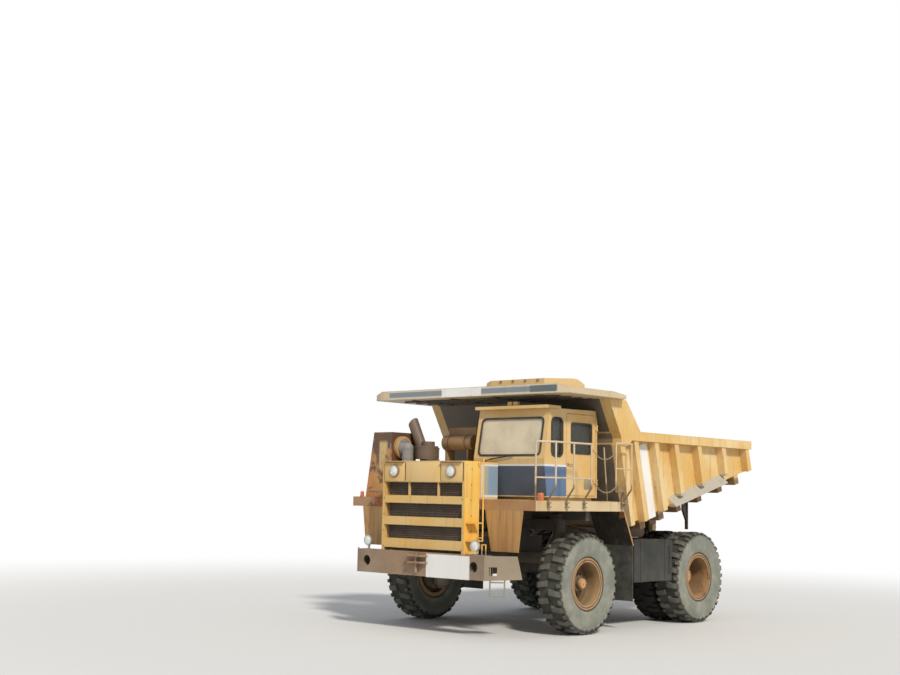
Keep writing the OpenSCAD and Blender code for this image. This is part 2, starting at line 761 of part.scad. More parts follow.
module cab_glass() {
    set_in = 15;
    color("lightblue") from_axle() {
        intersection() {
            side_profile([[cab_front_belt + set_in, belt_z], [cab_front_belt + set_in + glass_t, belt_z],
                [cab_front_top + set_in + glass_t, cab_top - 20], [cab_front_top + set_in, cab_top - 20]],
                cab_in_x + 110 + seat_gap, cab_x - 110 - seat_gap);
            block([cab_in_x, cab_front_belt - 100, window_low + seat_gap],
                [cab_x, cab_front_top + 200, window_top - seat_gap]);
        }
        block([cab_x - 30, quarter_window[0] + seat_gap, window_low + seat_gap],
            [cab_x - 30 + glass_t, quarter_window[1] - seat_gap, window_top - seat_gap]);
        block([cab_in_x + 20, -700 + seat_gap, window_low + 60 + seat_gap],
            [cab_in_x + 20 + glass_t, 350 - seat_gap, window_top - 60 - seat_gap]);
        block([cab_in_x + 250 + seat_gap, cab_back - 30, window_low + 100 + seat_gap],
            [cab_x - 250 - seat_gap, cab_back - 30 + glass_t, window_top - 110 - seat_gap]);
    }
}

module cab_interior() {
    floor_z = cab_z + cab_t + seat_gap;
    seat_x = 1150;
    color("dimgray") from_axle() {
        // seat: pedestal, cushion and back
        block([seat_x - 180, -250, floor_z], [seat_x + 180, 150, floor_z + 320]);
        block([seat_x - 260, -330, floor_z + 319], [seat_x + 260, 230, floor_z + 450]);
        side_profile([[130, floor_z + 449], [250, floor_z + 449], [370, floor_z + 1150],
            [260, floor_z + 1150]], seat_x - 250, seat_x + 250);
        // dashboard and steering column with its wheel
        block([cab_in_x + 120, cab_front_foot + cab_t + 10, floor_z],
            [cab_x - 120, cab_front_foot + 260, belt_z - 100]);
        bar([seat_x, cab_front_foot + 250, belt_z - 240], [seat_x, -560, belt_z - 20], 30);
        translate([seat_x, -560, belt_z - 20]) rotate([35, 0, 0]) {
            rotate_extrude() translate([230, 0]) circle(r = 16, $fn = 24);
            cube([460, 30, 16], center = true);
            cube([30, 460, 16], center = true);
            cylinder(h = 30, r = 50, center = true);
        }
    }
}

module cab_door() {
    color("khaki") from_axle() difference() {
        block([cab_x - cab_t, door_front, door_low], [cab_x, door_back, door_top]);
        block([cab_x - cab_t - 1, door_window[0], window_low + 60],
            [cab_x + 1, door_window[1], window_top - 60]);
    }
    color("khaki") from_axle() door_knuckles();
}

module door_glass() {
    color("lightblue") from_axle()
        block([cab_x - 30, door_window[0] + seat_gap, window_low + 60 + seat_gap],
            [cab_x - 30 + glass_t, door_window[1] - seat_gap, window_top - 60 - seat_gap]);
}

// Air intake and exhaust on the right deck and the hood

// inner side of the air cleaner's cabinet
cabinet_x = -shell_half_w - 420;

module air_cleaner() {
    low = deck_top + seat_gap;
    high = hood_z + 590;
    color("sienna") from_axle() {
        translate([0, -900, 0]) rotate([90, 0, 0]) linear_extrude(700)
            polygon([[-2160, low], [cabinet_x, low], [cabinet_x, high], [-1960, high]]);
        x_cyl(cabinet_x - 1, cabinet_x + 80, -1330, hood_z + 295, 220);
    }
}

module intake_duct() {
    r = 110;
    elbow = [cabinet_x + 250, -1400, hood_z + 270];
    low = deck_top + seat_gap;
    color("gray") from_axle() {
        x_cyl(cabinet_x + 80 + seat_gap, elbow[0], elbow[1], elbow[2], r);
        translate(elbow) sphere(r = r + 4);
        translate([elbow[0], elbow[1], low]) cylinder(h = elbow[2] - low, r = r);
    }
}

module exhaust_stack() {
    low = hood_z + seat_gap;
    tip_z = hood_z + 850;
    muffler = [cabinet_x + 370, -1000];
    color("brown") from_axle() {
        block([muffler[0] - 20, muffler[1] - 150, low], [muffler[0] + 230, muffler[1] + 150, low + 71]);
        translate([muffler[0], muffler[1], low + 70]) cylinder(h = 260, r = 240);
        translate([muffler[0] + 60, muffler[1], low + 329]) cylinder(h = 90, r = 130);
        difference() {
            bar([muffler[0] - 90, muffler[1], low + 250], [muffler[0] - 370, muffler[1] - 20, tip_z], 110);
            translate([muffler[0] - 390, muffler[1], tip_z]) rotate([0, -50, 0])
                cube([500, 500, 120], center = true);
        }
    }
}

module air_receiver() {
    drum_r = 150;
    color("peru") from_axle() {
        x_cyl(-945, -190, -560, hood_z + 410, drum_r);
        block([-980, -440, hood_z + 300], [-250, -260, hood_z + 720]);
        for (x = [-900, -330]) block([x, -640, hood_z + seat_gap], [x + 40, -400, hood_z + 330]);
    }
}

// Tanks on the sides behind the front wheels

// a tank on two brackets from the frame rail
module side_tank(x_to, y_to, low, high) {
    front = 1560;
    block([1100, front, low], [x_to, y_to, high]);
    for (y = [front + 90, front + 490])
        block([rail_out + seat_gap, y, rail_z + 140], [1101, y + 100, rail_z + 260]);
}

module fuel_tank() {
    color("slategray") from_axle() side_tank(2150, wheelbase - tyre_r - 60, 900, 1710);
}

module hydraulic_tank() {
    color("slategray") from_axle() mirror([1, 0, 0]) side_tank(2000, wheelbase - tyre_r - 470, 950, 1650);
}

// Rear axle with its drums and struts

module rear_axle() {
    color("darkslategray") from_axle() {
        // banjo housing with the drive's nose ahead of it
        translate([0, wheelbase - 200, hub_z]) rotate([-90, 0, 0]) cylinder(h = 400, r = 330);
        translate([0, wheelbase - nose_reach, hub_z]) rotate([-90, 0, 0])
            cylinder(h = nose_reach + 270, r = 210);
        both_sides() {
            drum_x = rear_inner_x - 110;
            x_cyl(200, drum_x + 1, wheelbase, hub_z, 170);
            x_cyl(drum_x, rear_inner_x + 50, wheelbase, hub_z, 300);
            x_cyl(rear_inner_x + 49, rear_wheel_x - 150, wheelbase, hub_z, axle_end_r);
            block([rear_strut_x - 90, wheelbase, hub_z - 40],
                [rear_strut_x + 90, strut_back + 90, hub_z + 90]);
            // arms forward to a seat under the rails
            x = (rail_x + rail_out) / 2;
            bar([x, wheelbase - 100, hub_z], [x, wheelbase - 1100, rail_z - 75], 70);
        }
    }
}

module rear_struts() {
    color("darkslategray") from_axle() both_sides() {
        strut_mid = (hub_z + 90 + rear_rail_z + rail_h - 120) / 2;
        translate([rear_strut_x, strut_back, hub_z + 90 + seat_gap])
            cylinder(h = strut_mid - hub_z - 90, r = 62);
        translate([rear_strut_x, strut_back, strut_mid - 40])
            cylinder(h = rear_rail_z + rail_h - 120 - seat_gap - strut_mid + 40, r = 80);
    }
}

// Dump body

wall_lean = [360, 1540];
rail_low = side_top - 180;
rib_w = 150;

// ribs: the place of each one's top, and how far above the floor line it ends
rib_rows = [[1410, -30], [2140, 0], [2880, 150], [3770, 150], [4760, 150], [5770, 20]];
// places of the bolsters along the floor, clear of the hoists' ears and the ejectors
bolster_rows = [wheelbase - 2050, wheelbase - 1370, wheelbase - 720, wheelbase + 90, wheelbase + 930, 5550];
bolster_d = 200;
bolster_half_w = load_half_w + plate_t - 5;

// a place on the floor's underside, turned so that Y runs along the floor
module on_floor(y) { translate([0, y, floor_at(y)]) rotate([floor_slope, 0, 0]) children(); }

function wall_y_at(z) = wall_y - (z - floor_z) * tan(floor_slope);

module body_side_shape() {
    polygon([[wall_y_at(floor_z), floor_z], [tail, floor_at(tail)], [tail - 60, side_top], [1540, side_top],
        [1040, canopy_z], [450, canopy_z], [880, 3680], [wall_y_at(3540), 3540]]);
}

module dump_body() {
    ledge_front = 2850;
    ledge_back = 4920;
    color("gold") from_axle() {
        both_sides() {
            // side plate
            translate([load_half_w, 0, 0]) rotate([90, 0, 90]) linear_extrude(plate_t) body_side_shape();
            // top rail
            block([load_half_w + plate_t - 1, 1540, rail_low],
                [load_half_w + plate_t + rib_d + 20, tail - 60, side_top]);
            // boxed corner of the side, up to the canopy
            side_profile([[wall_y_at(3540), 3540], [880, 3680], [450, canopy_z], [1040, canopy_z],
                [1541, side_top - 1], [1541, rail_low], [1250, rail_low], [1100, 3540]],
                load_half_w + plate_t - 1, load_half_w + plate_t + rib_d + 20);
            side_profile([[wall_y_at(3540), 3541], [wall_y_at(3540) + 170, 3541],
                [wall_y + 130, floor_at(wall_y + 130) - 2], [wall_y, floor_z]],
                load_half_w + plate_t - 1, load_half_w + plate_t + rib_d);
            // ribs square to the floor
            for (row = rib_rows) {
                y = row[0];
                lean = (rail_low - floor_at(y) - row[1]) * tan(floor_slope) * pow(cos(floor_slope), 2);
                foot = y + lean;
                side_profile([[y - rib_w / 2, rail_low + 1], [y + rib_w / 2, rail_low + 1],
                    [foot + rib_w / 2, floor_at(foot + rib_w / 2) + row[1]],
                    [foot - rib_w / 2, floor_at(foot - rib_w / 2) + row[1]]],
                    load_half_w + plate_t - 1, load_half_w + plate_t + rib_d);
            }
            // sloped ledge along the foot of the side
            translate([load_half_w + plate_t - 1, ledge_back, floor_at(ledge_back)])
                rotate([90 + floor_slope, 0, 0])
                linear_extrude((ledge_back - ledge_front) / cos(floor_slope))
                polygon([[0, -20], [rib_d + 16, -20], [0, 175]]);
        }
        // floor
        side_profile([[wall_y, floor_z], [tail, floor_at(tail)], [tail, floor_at(tail) + plate_t],
            [wall_y, floor_z + plate_t]], -load_half_w - 1, load_half_w + 1);
        // front wall and the slope up to the canopy
        side_profile([[wall_y, floor_z], [wall_y_at(3540), 3540], [880, 3680], [450, canopy_z],
            [450 + plate_t, canopy_z], [880 + plate_t, 3690], [wall_y_at(3540) + plate_t, 3545],
            [wall_y + plate_t, floor_z]], -load_half_w - 1, load_half_w + 1);
        // runners under the floor, carried on the frame
        runner_back = hinge_y - 230;
        runner_low = rear_rail_z + rail_h + 12;
        both_sides() side_profile([[1500, floor_at(1500) + 1], [runner_back, floor_at(runner_back) + 1],
            [runner_back, 1960], [runner_back - 20, runner_low], [wheelbase - 950, runner_low],
            [1500, 1960]], rail_x, rail_out);
        // cross bolsters
        for (y = bolster_rows) on_floor(y)
            block([-bolster_half_w, -90, -bolster_d], [bolster_half_w, 90, 1]);
        // hinge ears either side of the frame's bracket, with the pin
        both_sides() {
            for (x = [rail_x - 60, rail_out + 10]) {
                x_cyl(x, x + 50, hinge_y, hinge_z, 130);
                side_profile([[hinge_y - 300, floor_at(hinge_y - 300) + 1],
                    [hinge_y + 300, floor_at(hinge_y + 300) + 1], [hinge_y + 110, hinge_z],
                    [hinge_y - 110, hinge_z]], x, x + 50);
            }
            x_cyl(rail_x - 70, rail_out + 70, hinge_y, hinge_z, hinge_pin_r);
            // hoist ears
            for (x = [hoist_x - hoist_eye_w / 2 - hoist_ear_gap - hoist_ear_t,
                hoist_x + hoist_eye_w / 2 + hoist_ear_gap])
                side_profile([[hoist_high[0] - 200, floor_at(hoist_high[0] - 200) + 1],
                    [hoist_high[0] + 200, floor_at(hoist_high[0] + 200) + 1],
                    [hoist_high[0] + 80, hoist_high[1] - 60], [hoist_high[0] - 80, hoist_high[1] - 60]],
                    x, x + hoist_ear_t);
        }
    }
}

// the canopy's outline, and the same set in by its edge's thickness
module canopy_outline(inset) {
    half_w = canopy_half_w - inset;
    front = -canopy_front + inset;
    polygon([[-half_w + 210, front], [half_w - 210, front], [half_w, front + 90], [half_w, 780],
        [load_half_w, 1050 + inset], [-load_half_w, 1050 + inset], [-half_w, 780], [-half_w, front + 90]]);
}

module body_canopy() {
    low = canopy_z + seat_gap;
    color("cadetblue") from_axle() {
        difference() {
            translate([0, 0, low]) linear_extrude(180) canopy_outline(0);
            translate([0, 0, low + 30]) linear_extrude(200) canopy_outline(20);
            // the edge is lower along the sides and falls to the rear
            both_sides() {
                translate([0, 1300, low]) rotate([90, 0, 0]) linear_extrude(2600)
                    polygon([[2250, 190], [2250, 170], [canopy_half_w + 10, 115], [canopy_half_w + 10, 190]]);
                side_profile([[420, low + 190], [420, low + 115], [1100, low + 33], [1100, low + 190]],
                    load_half_w + 60, canopy_half_w + 10);
            }
        }
        // raised box over the front wall, wider to the rear
        difference() {
            translate([0, 0, low + 29]) linear_extrude(435)
                polygon([[-700, 500], [700, 500], [1300, 1040], [-1300, 1040]]);
            both_sides() translate([0, 1300, 0]) rotate([90, 0, 0]) linear_extrude(1000)
                polygon([[1120, low + 465], [1320, low + 340], [1320, low + 480], [1120, low + 480]]);
        }
    }
}

module rock_ejectors() {
    color("sienna") from_axle() both_sides() {
        x = (rear_wheel_x + rear_inner_x) / 2;
        y = wheelbase + 400;
        block([x - 28, y, 1890], [x + 28, y + 50, floor_at(y) - seat_gap]);
        side_profile([[y - 150, 2300], [y - 150, floor_at(y - 150) - seat_gap],
            [y - 90, floor_at(y - 150) - seat_gap], [y + 1, 2160], [y + 1, 2060]], x - 20, x + 20);
    }
}

// Hoist cylinders, drawn along their own line from the lower pin

hoist_run = hoist_high - hoist_low;
hoist_len = norm(hoist_run);
hoist_angle = atan2(hoist_run[1], hoist_run[0]);
barrel_len = hoist_len - 330;

module on_hoist_line() {
    from_axle() translate([hoist_x, hoist_low[0], hoist_low[1]]) rotate([hoist_angle - 90, 0, 0])
        children();
}

module hoist_barrel_left() {
    color("silver") on_hoist_line() difference() {
        union() {
            x_cyl(-hoist_eye_w / 2, hoist_eye_w / 2, 0, 0, 75);
            cylinder(h = 120, r = 50);
            translate([0, 0, 90]) cylinder(h = barrel_len - 90, r = hoist_r);
            x_cyl(-hoist_eye_w / 2 - hoist_ear_gap - hoist_ear_t - 15,
                hoist_eye_w / 2 + hoist_ear_gap + hoist_ear_t + 15, 0, 0, hoist_pin_r);
        }
        translate([0, 0, 140]) cylinder(h = barrel_len, r = hoist_rod_r + pin_gap);
    }
}
module hoist_barrel_right() { mirror([1, 0, 0]) hoist_barrel_left(); }

module hoist_rod_left() {
    color("gainsboro") on_hoist_line() {
        translate([0, 0, 160]) cylinder(h = hoist_len - 160 - 40, r = hoist_rod_r);
        x_cyl(-hoist_eye_w / 2, hoist_eye_w / 2, 0, hoist_len, 80);
    }
}
module hoist_rod_right() { mirror([1, 0, 0]) hoist_rod_left(); }

frame();
bumper();
access_ladder();
radiator_shell();
radiator_core();
hood();
lamps();
engine();
driveline();
left_deck();
right_deck();
deck_skirts();
handrails();
cab_shell();
cab_glass();
cab_interior();
air_cleaner();
intake_duct();
exhaust_stack();
air_receiver();
fuel_tank();
hydraulic_tank();
front_struts();
rear_axle();
rear_struts();
mud_flaps();
cab_door();
door_glass();
knuckle_left();
knuckle_right();
rim_front_left();
tyre_front_left();
rim_front_right();
tyre_front_right();
rims_rear_left();
tyres_rear_left();
rims_rear_right();
tyres_rear_right();
dump_body();
body_canopy();
rock_ejectors();
hoist_barrel_left();
hoist_rod_left();
hoist_barrel_right();
hoist_rod_right();
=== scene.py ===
from math import sin, cos, tan, pi, radians, sqrt

import bpy
import bmesh
from mathutils import Matrix, Vector

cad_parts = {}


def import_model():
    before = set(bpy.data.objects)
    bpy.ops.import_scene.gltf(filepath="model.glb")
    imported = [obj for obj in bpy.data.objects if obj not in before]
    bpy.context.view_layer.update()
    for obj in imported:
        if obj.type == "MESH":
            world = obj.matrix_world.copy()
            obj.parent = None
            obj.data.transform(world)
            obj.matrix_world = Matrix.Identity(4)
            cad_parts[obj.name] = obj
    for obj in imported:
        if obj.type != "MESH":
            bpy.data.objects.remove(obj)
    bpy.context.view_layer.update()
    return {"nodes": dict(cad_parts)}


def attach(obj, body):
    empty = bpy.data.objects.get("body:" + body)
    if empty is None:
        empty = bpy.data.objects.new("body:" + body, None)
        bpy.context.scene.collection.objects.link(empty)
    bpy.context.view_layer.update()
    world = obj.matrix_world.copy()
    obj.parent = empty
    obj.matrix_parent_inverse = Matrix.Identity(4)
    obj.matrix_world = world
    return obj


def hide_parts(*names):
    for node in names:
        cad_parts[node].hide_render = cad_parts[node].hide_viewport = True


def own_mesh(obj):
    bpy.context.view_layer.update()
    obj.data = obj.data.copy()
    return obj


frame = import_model()
nodes = frame["nodes"]
scene = bpy.context.scene

axleY = -1.774  # the front axle, from the middle of the truck
pole = 0.0005  # a turned profile starts and ends this close to its axis
tiny = 0.0003  # keeps a fitting off the face it lies on


def spot(x, y, z):
    # a place whose y is measured back from the front axle
    return Vector((x, y + axleY, z))


# camera, lamps and floor
view = {
    "place": spot(16.628, -20.033, 2.563), "yaw": 0.733, "pitch": 0.119, "roll": 0.02,
    "lens": 52.0, "sensor": 36.0, "reach": 300.0,
    "sunStrength": 2.8, "sunAngle": 0.12, "sunFrom": (0.78, -0.42, 0.72), "sunColour": (1.0, 0.95, 0.86),
    "skyColour": (0.86, 0.92, 1.0), "skyStrength": 0.5,
    "floorColour": (0.74, 0.73, 0.71), "floorHalf": 90.0, "floorDrop": 0.002, "fade": (9.0, 26.0),
}


def setCamera():
    yaw, pitch, roll = view["yaw"], view["pitch"], view["roll"]
    ahead = Vector((-sin(yaw) * cos(pitch), cos(yaw) * cos(pitch), sin(pitch)))
    side = Vector((cos(yaw), sin(yaw), 0.0))
    up = side.cross(ahead)
    right = side * cos(roll) + up * sin(roll)
    top = up * cos(roll) - side * sin(roll)
    turn = Matrix((right, top, -ahead)).transposed().to_4x4()
    lensData = bpy.data.cameras.new("camera")
    lensData.lens = view["lens"]
    lensData.sensor_width = view["sensor"]
    lensData.clip_end = view["reach"]
    camera = bpy.data.objects.new("camera", lensData)
    camera.matrix_world = Matrix.Translation(view["place"]) @ turn
    scene.collection.objects.link(camera)
    scene.camera = camera


def put(tree, kind, inputs=None, **settings):
    # adds a shader node; an input is a value or another node's output
    made = tree.nodes.new("ShaderNode" + kind)
    for key, value in settings.items():
        setattr(made, key, value)
    for key, value in (inputs or {}).items():
        if isinstance(value, bpy.types.NodeSocket):
            tree.links.new(value, made.inputs[key])
        else:
            made.inputs[key].default_value = value
    return made


def calc(tree, operation, a, b=0.0, clamp=False):
    return put(tree, "Math", {0: a, 1: b}, operation=operation, use_clamp=clamp).outputs[0]


def setLight():
    sun = bpy.data.lights.new("sun", "SUN")
    sun.energy = view["sunStrength"]
    sun.angle = view["sunAngle"]
    sun.color = view["sunColour"]
    lamp = bpy.data.objects.new("sun", sun)
    lamp.rotation_euler = Vector(view["sunFrom"]).to_track_quat("Z", "Y").to_euler()
    scene.collection.objects.link(lamp)

    world = bpy.data.worlds.new("sky")
    scene.world = world
    world.use_nodes = True
    tree = world.node_tree
    tree.nodes.clear()
    seen = put(tree, "LightPath").outputs
    shown = calc(tree, "MAXIMUM", seen["Is Camera Ray"], seen["Is Glossy Ray"])
    shown = calc(tree, "MAXIMUM", shown, seen["Is Transmission Ray"])
    lit = put(tree, "Background", {"Color": (*view["skyColour"], 1.0), "Strength": view["skyStrength"]})
    white = put(tree, "Background", {"Color": (1.0, 1.0, 1.0, 1.0), "Strength": 1.0})
    mixed = put(tree, "MixShader", {0: shown, 1: lit.outputs[0], 2: white.outputs[0]})
    put(tree, "OutputWorld", {"Surface": mixed.outputs[0]})


def newMaterial(name):
    material = bpy.data.materials.new(name)
    material.use_nodes = True
    tree = material.node_tree
    return material, tree, tree.nodes["Principled BSDF"]


def setFloor():
    mesh = bmesh.new()
    bmesh.ops.create_grid(mesh, x_segments=1, y_segments=1, size=view["floorHalf"])
    data = bpy.data.meshes.new("floor")
    mesh.to_mesh(data)
    mesh.free()
    floor = bpy.data.objects.new("floor", data)
    floor.location.z = -view["floorDrop"]
    scene.collection.objects.link(floor)
    material, tree, shader = newMaterial("floor")
    shader.inputs["Base Color"].default_value = (*view["floorColour"], 1.0)
    shader.inputs["Roughness"].default_value = 0.9
    shader.inputs["Specular IOR Level"].default_value = 0.15
    place = put(tree, "TexCoord").outputs["Object"]
    away = put(tree, "VectorMath", {0: place}, operation="LENGTH").outputs["Value"]
    fade = ramp(tree, away, *view["fade"])
    white = put(tree, "Emission", {"Color": (1.0, 1.0, 1.0, 1.0), "Strength": 1.0})
    mixed = put(tree, "MixShader", {0: fade, 1: shader.outputs[0], 2: white.outputs[0]})
    tree.links.new(mixed.outputs[0], tree.nodes["Material Output"].inputs["Surface"])
    data.materials.append(material)


# masks, colours and textures for the materials
def ramp(tree, value, low, high):
    # 0 below low, 1 above high; low may be the larger one
    inputs = {"Value": value, "From Min": low, "From Max": high}
    return put(tree, "MapRange", inputs, interpolation_type="SMOOTHSTEP").outputs[0]


def both(tree, *masks):
    # masks multiplied by each other, and by a strength where one is given
    made = masks[0]
    for mask in masks[1:]:
        made = calc(tree, "MULTIPLY", made, mask)
    return made


def past(tree, value, place, soft=0.002):
    return ramp(tree, value, place - soft, place + soft)


def before(tree, value, place, soft=0.002):
    return ramp(tree, value, place + soft, place - soft)


def band(tree, value, low, high, soft=0.003):
    # 1 between two places along a coordinate
    return both(tree, past(tree, value, low, soft), before(tree, value, high, soft))


def blendColour(tree, amount, first, second, how="MIX"):
    mixed = put(tree, "Mix", data_type="RGBA", blend_type=how)
    for index, value in ((0, amount), (6, first), (7, second)):
        if isinstance(value, bpy.types.NodeSocket):
            tree.links.new(value, mixed.inputs[index])
        else:
            mixed.inputs[index].default_value = value if index == 0 else (*value[:3], 1.0)
    return mixed.outputs[2]


def layered(tree, bases, layers):
    # lays each (mask, colour) over every one of the base colours
    coats = []
    for colour in bases:
        for mask, over in layers:
            colour = blendColour(tree, mask, colour, over)
        coats.append(colour)
    return coats


def objectPlace(tree):
    return put(tree, "TexCoord").outputs["Object"]


def axes(tree):
    return put(tree, "SeparateXYZ", {0: objectPlace(tree)}).outputs


def noise(tree, place, scale, detail=4.0, rough=0.55, bend=0.0, stretch=None):
    if stretch:
        place = put(tree, "Mapping", {"Vector": place, "Scale": stretch}).outputs[0]
    inputs = {"Vector": place, "Scale": scale, "Detail": detail, "Roughness": rough, "Distortion": bend}
    return put(tree, "TexNoise", inputs).outputs[0]


def bump(tree, shader, height, strength, distance):
    relief = put(tree, "Bump", {"Strength": strength, "Distance": distance, "Height": height})
    tree.links.new(relief.outputs[0], shader.inputs["Normal"])


scene.view_settings.view_transform = "Standard"
setCamera()
setLight()
setFloor()
print("camera, sun and floor placed")


# shader group: fading, rain runs, rust, chips, worn edges and dust on paint
wear = {
    "fadeScale": 0.8, "speckScale": 60.0, "speckTones": ((0.25, 0.25, 0.25), (0.78, 0.78, 0.78)),
    "runStretch": (9.0, 9.0, 0.55), "patchScale": 1.5, "patchStart": 0.86, "flakeScale": 21.0,
    "flakeStart": 0.79, "edgeRadius": 0.02, "edgeScale": 5.5, "rustTones": (2.6, 2.2, 1.7),
    "dustScale": 2.6, "dustLow": (2.1, 0.3), "dustBase": 0.14,
    "rustColour": (0.17, 0.07, 0.028), "dustColour": (0.46, 0.4, 0.3),
}


def newGroup(name, inputs, outputs):
    tree = bpy.data.node_groups.new(name, "ShaderNodeTree")
    for label, kind, value in inputs:
        socket = tree.interface.new_socket(name=label, in_out="INPUT", socket_type="NodeSocket" + kind)
        socket.default_value = value
    for label, kind in outputs:
        tree.interface.new_socket(name=label, in_out="OUTPUT", socket_type="NodeSocket" + kind)
    return tree, tree.nodes.new("NodeGroupInput"), tree.nodes.new("NodeGroupOutput")


def makeWeather():
    tree, given, result = newGroup("weather", [
        ("Paint", "Color", (0.6, 0.4, 0.15, 1)), ("Faded", "Color", (0.7, 0.5, 0.3, 1)),
        ("Rust", "Color", (0.2, 0.08, 0.03, 1)), ("Dust", "Color", (0.5, 0.42, 0.3, 1)),
        ("Rust Amount", "Float", 0.2), ("Chips", "Float", 0.3), ("Dust Amount", "Float", 0.4),
        ("Streaks", "Float", 0.4), ("Edge Wear", "Float", 0.5)],
        [("Color", "Color"), ("Roughness", "Float"), ("Height", "Float")])
    come = given.outputs
    texture = put(tree, "TexCoord").outputs
    place = texture["Object"]
    height = put(tree, "SeparateXYZ", {0: place}).outputs[2]
    faceUp = put(tree, "SeparateXYZ", {0: texture["Normal"]}).outputs[2]

    # faded and darker areas of the paint
    fading = ramp(tree, noise(tree, place, wear["fadeScale"], 5.0, 0.6), 0.36, 0.64)
    colour = blendColour(tree, fading, come["Paint"], come["Faded"])
    speck = noise(tree, place, wear["speckScale"], 3.0, 0.7)
    tones = blendColour(tree, speck, *wear["speckTones"])
    colour = blendColour(tree, 0.35, colour, tones, "SOFT_LIGHT")
    runs = noise(tree, place, 1.0, 5.0, 0.6, stretch=wear["runStretch"])
    runMask = calc(tree, "MULTIPLY", ramp(tree, runs, 0.52, 0.74), come["Streaks"], True)
    colour = blendColour(tree, runMask, colour, blendColour(tree, 0.45, colour, come["Rust"]))

    # rust in patches, as chips and along the edges
    patch = noise(tree, place, wear["patchScale"], 12.0, 0.62, 0.5)
    patch = calc(tree, "ADD", patch, calc(tree, "MULTIPLY", runs, 0.16))
    start = calc(tree, "SUBTRACT", wear["patchStart"], calc(tree, "MULTIPLY", come["Rust Amount"], 0.5))
    patches = ramp(tree, patch, start, calc(tree, "ADD", start, 0.07))
    flakes = noise(tree, place, wear["flakeScale"], 8.0, 0.72, 0.3)
    start = calc(tree, "SUBTRACT", wear["flakeStart"], calc(tree, "MULTIPLY", come["Chips"], 0.17))
    chips = ramp(tree, flakes, start, calc(tree, "ADD", start, 0.03))
    rounded = put(tree, "Bevel", {"Radius": wear["edgeRadius"]}, samples=4).outputs[0]
    flat = put(tree, "NewGeometry").outputs["Normal"]
    bend = put(tree, "VectorMath", {0: rounded, 1: flat}, operation="DOT_PRODUCT").outputs["Value"]
    broken = ramp(tree, noise(tree, place, wear["edgeScale"], 7.0, 0.7), 0.4, 0.58)
    edge = calc(tree, "MULTIPLY", both(tree, ramp(tree, bend, 0.995, 0.8), broken), come["Edge Wear"], True)
    bare = calc(tree, "MAXIMUM", calc(tree, "MAXIMUM", patches, chips), edge)
    rustTone = ramp(tree, noise(tree, place, 8.0, 8.0, 0.7), 0.35, 0.7)
    brighter = blendColour(tree, 1.0, come["Rust"], wear["rustTones"], "MULTIPLY")
    colour = blendColour(tree, bare, colour, blendColour(tree, rustTone, come["Rust"], brighter))

    # dust where it can lie, and low down
    dusting = noise(tree, place, wear["dustScale"], 9.0, 0.65)
    lying = calc(tree, "MULTIPLY", ramp(tree, faceUp, 0.25, 0.95), 0.75)
    low = calc(tree, "MULTIPLY", ramp(tree, height, *wear["dustLow"]), 0.5)
    dust = calc(tree, "ADD", calc(tree, "ADD", lying, low), wear["dustBase"])
    dust = calc(tree, "MULTIPLY", dust, come["Dust Amount"])
    dust = calc(tree, "MULTIPLY", dust, calc(tree, "ADD", ramp(tree, dusting, 0.3, 0.7), 0.45), True)
    colour = blendColour(tree, dust, colour, come["Dust"])

    rough = calc(tree, "ADD", 0.5, calc(tree, "MULTIPLY", bare, 0.34))
    rough = calc(tree, "ADD", rough, calc(tree, "MULTIPLY", dust, 0.3), True)
    bumps = calc(tree, "SUBTRACT", calc(tree, "MULTIPLY", flakes, 0.25), calc(tree, "MULTIPLY", bare, 0.6))
    bumps = calc(tree, "ADD", bumps, calc(tree, "MULTIPLY", speck, 0.18))
    for label, value in (("Color", colour), ("Roughness", rough), ("Height", bumps)):
        tree.links.new(value, result.inputs[label])
    return tree


weather = makeWeather()

wheels = {
    "hubZ": 0.93, "pitch": 0.63,
    "Front": {"x": 1.92, "y": 0.0, "nuts": 12, "nutRing": 0.225, "faceX": -0.065, "hubRadius": 0.096,
              "capX": 0.141, "body": "wheel_front_"},
    "Rear": {"x": 1.94, "y": 3.9, "nuts": 18, "nutRing": 0.3, "faceX": -0.209, "hubRadius": 0.142,
             "capX": -0.029, "body": "wheels_rear_"},
}


def wheelRadius(tree, place):
    # distance from the nearer axle
    part = put(tree, "SeparateXYZ", {0: place}).outputs
    up = calc(tree, "POWER", calc(tree, "SUBTRACT", part[2], wheels["hubZ"]), 2.0)
    reach = []
    for axle in ("Front", "Rear"):
        reach.append(calc(tree, "POWER", calc(tree, "SUBTRACT", part[1], axleY + wheels[axle]["y"]), 2.0))
    return calc(tree, "SQRT", calc(tree, "ADD", up, calc(tree, "MINIMUM", *reach)))


rimGreaseAndShade = {"face": (2.1, 1.98), "inner": (0.41, 0.4), "grease": (0.06, 0.04, 0.025),
           "groove": (0.428, 0.447), "lip": (2.1, 2.14), "grooveShade": (0.03, 0.02, 0.014)}


def greasedAndShaded(tree, colour):
    # soot and grease deep inside a rim, darkened further as painted shade, and painted shade in the groove
    # behind its lip
    place = objectPlace(tree)
    out = calc(tree, "ABSOLUTE", axes(tree)[0])
    away = wheelRadius(tree, place)
    inner = both(tree, ramp(tree, out, *rimGreaseAndShade["face"]), ramp(tree, away, *rimGreaseAndShade["inner"]))
    cloud = calc(tree, "ADD", 0.45, calc(tree, "MULTIPLY", noise(tree, place, 4.0, 6.0), 0.6))
    colour = blendColour(tree, calc(tree, "MULTIPLY", inner, cloud, True), colour, rimGreaseAndShade["grease"])
    # the groove behind the lip: painted shade
    groove = both(tree, band(tree, away, *rimGreaseAndShade["groove"]), ramp(tree, out, *rimGreaseAndShade["lip"]), 0.85)
    return blendColour(tree, groove, colour, rimGreaseAndShade["grooveShade"])


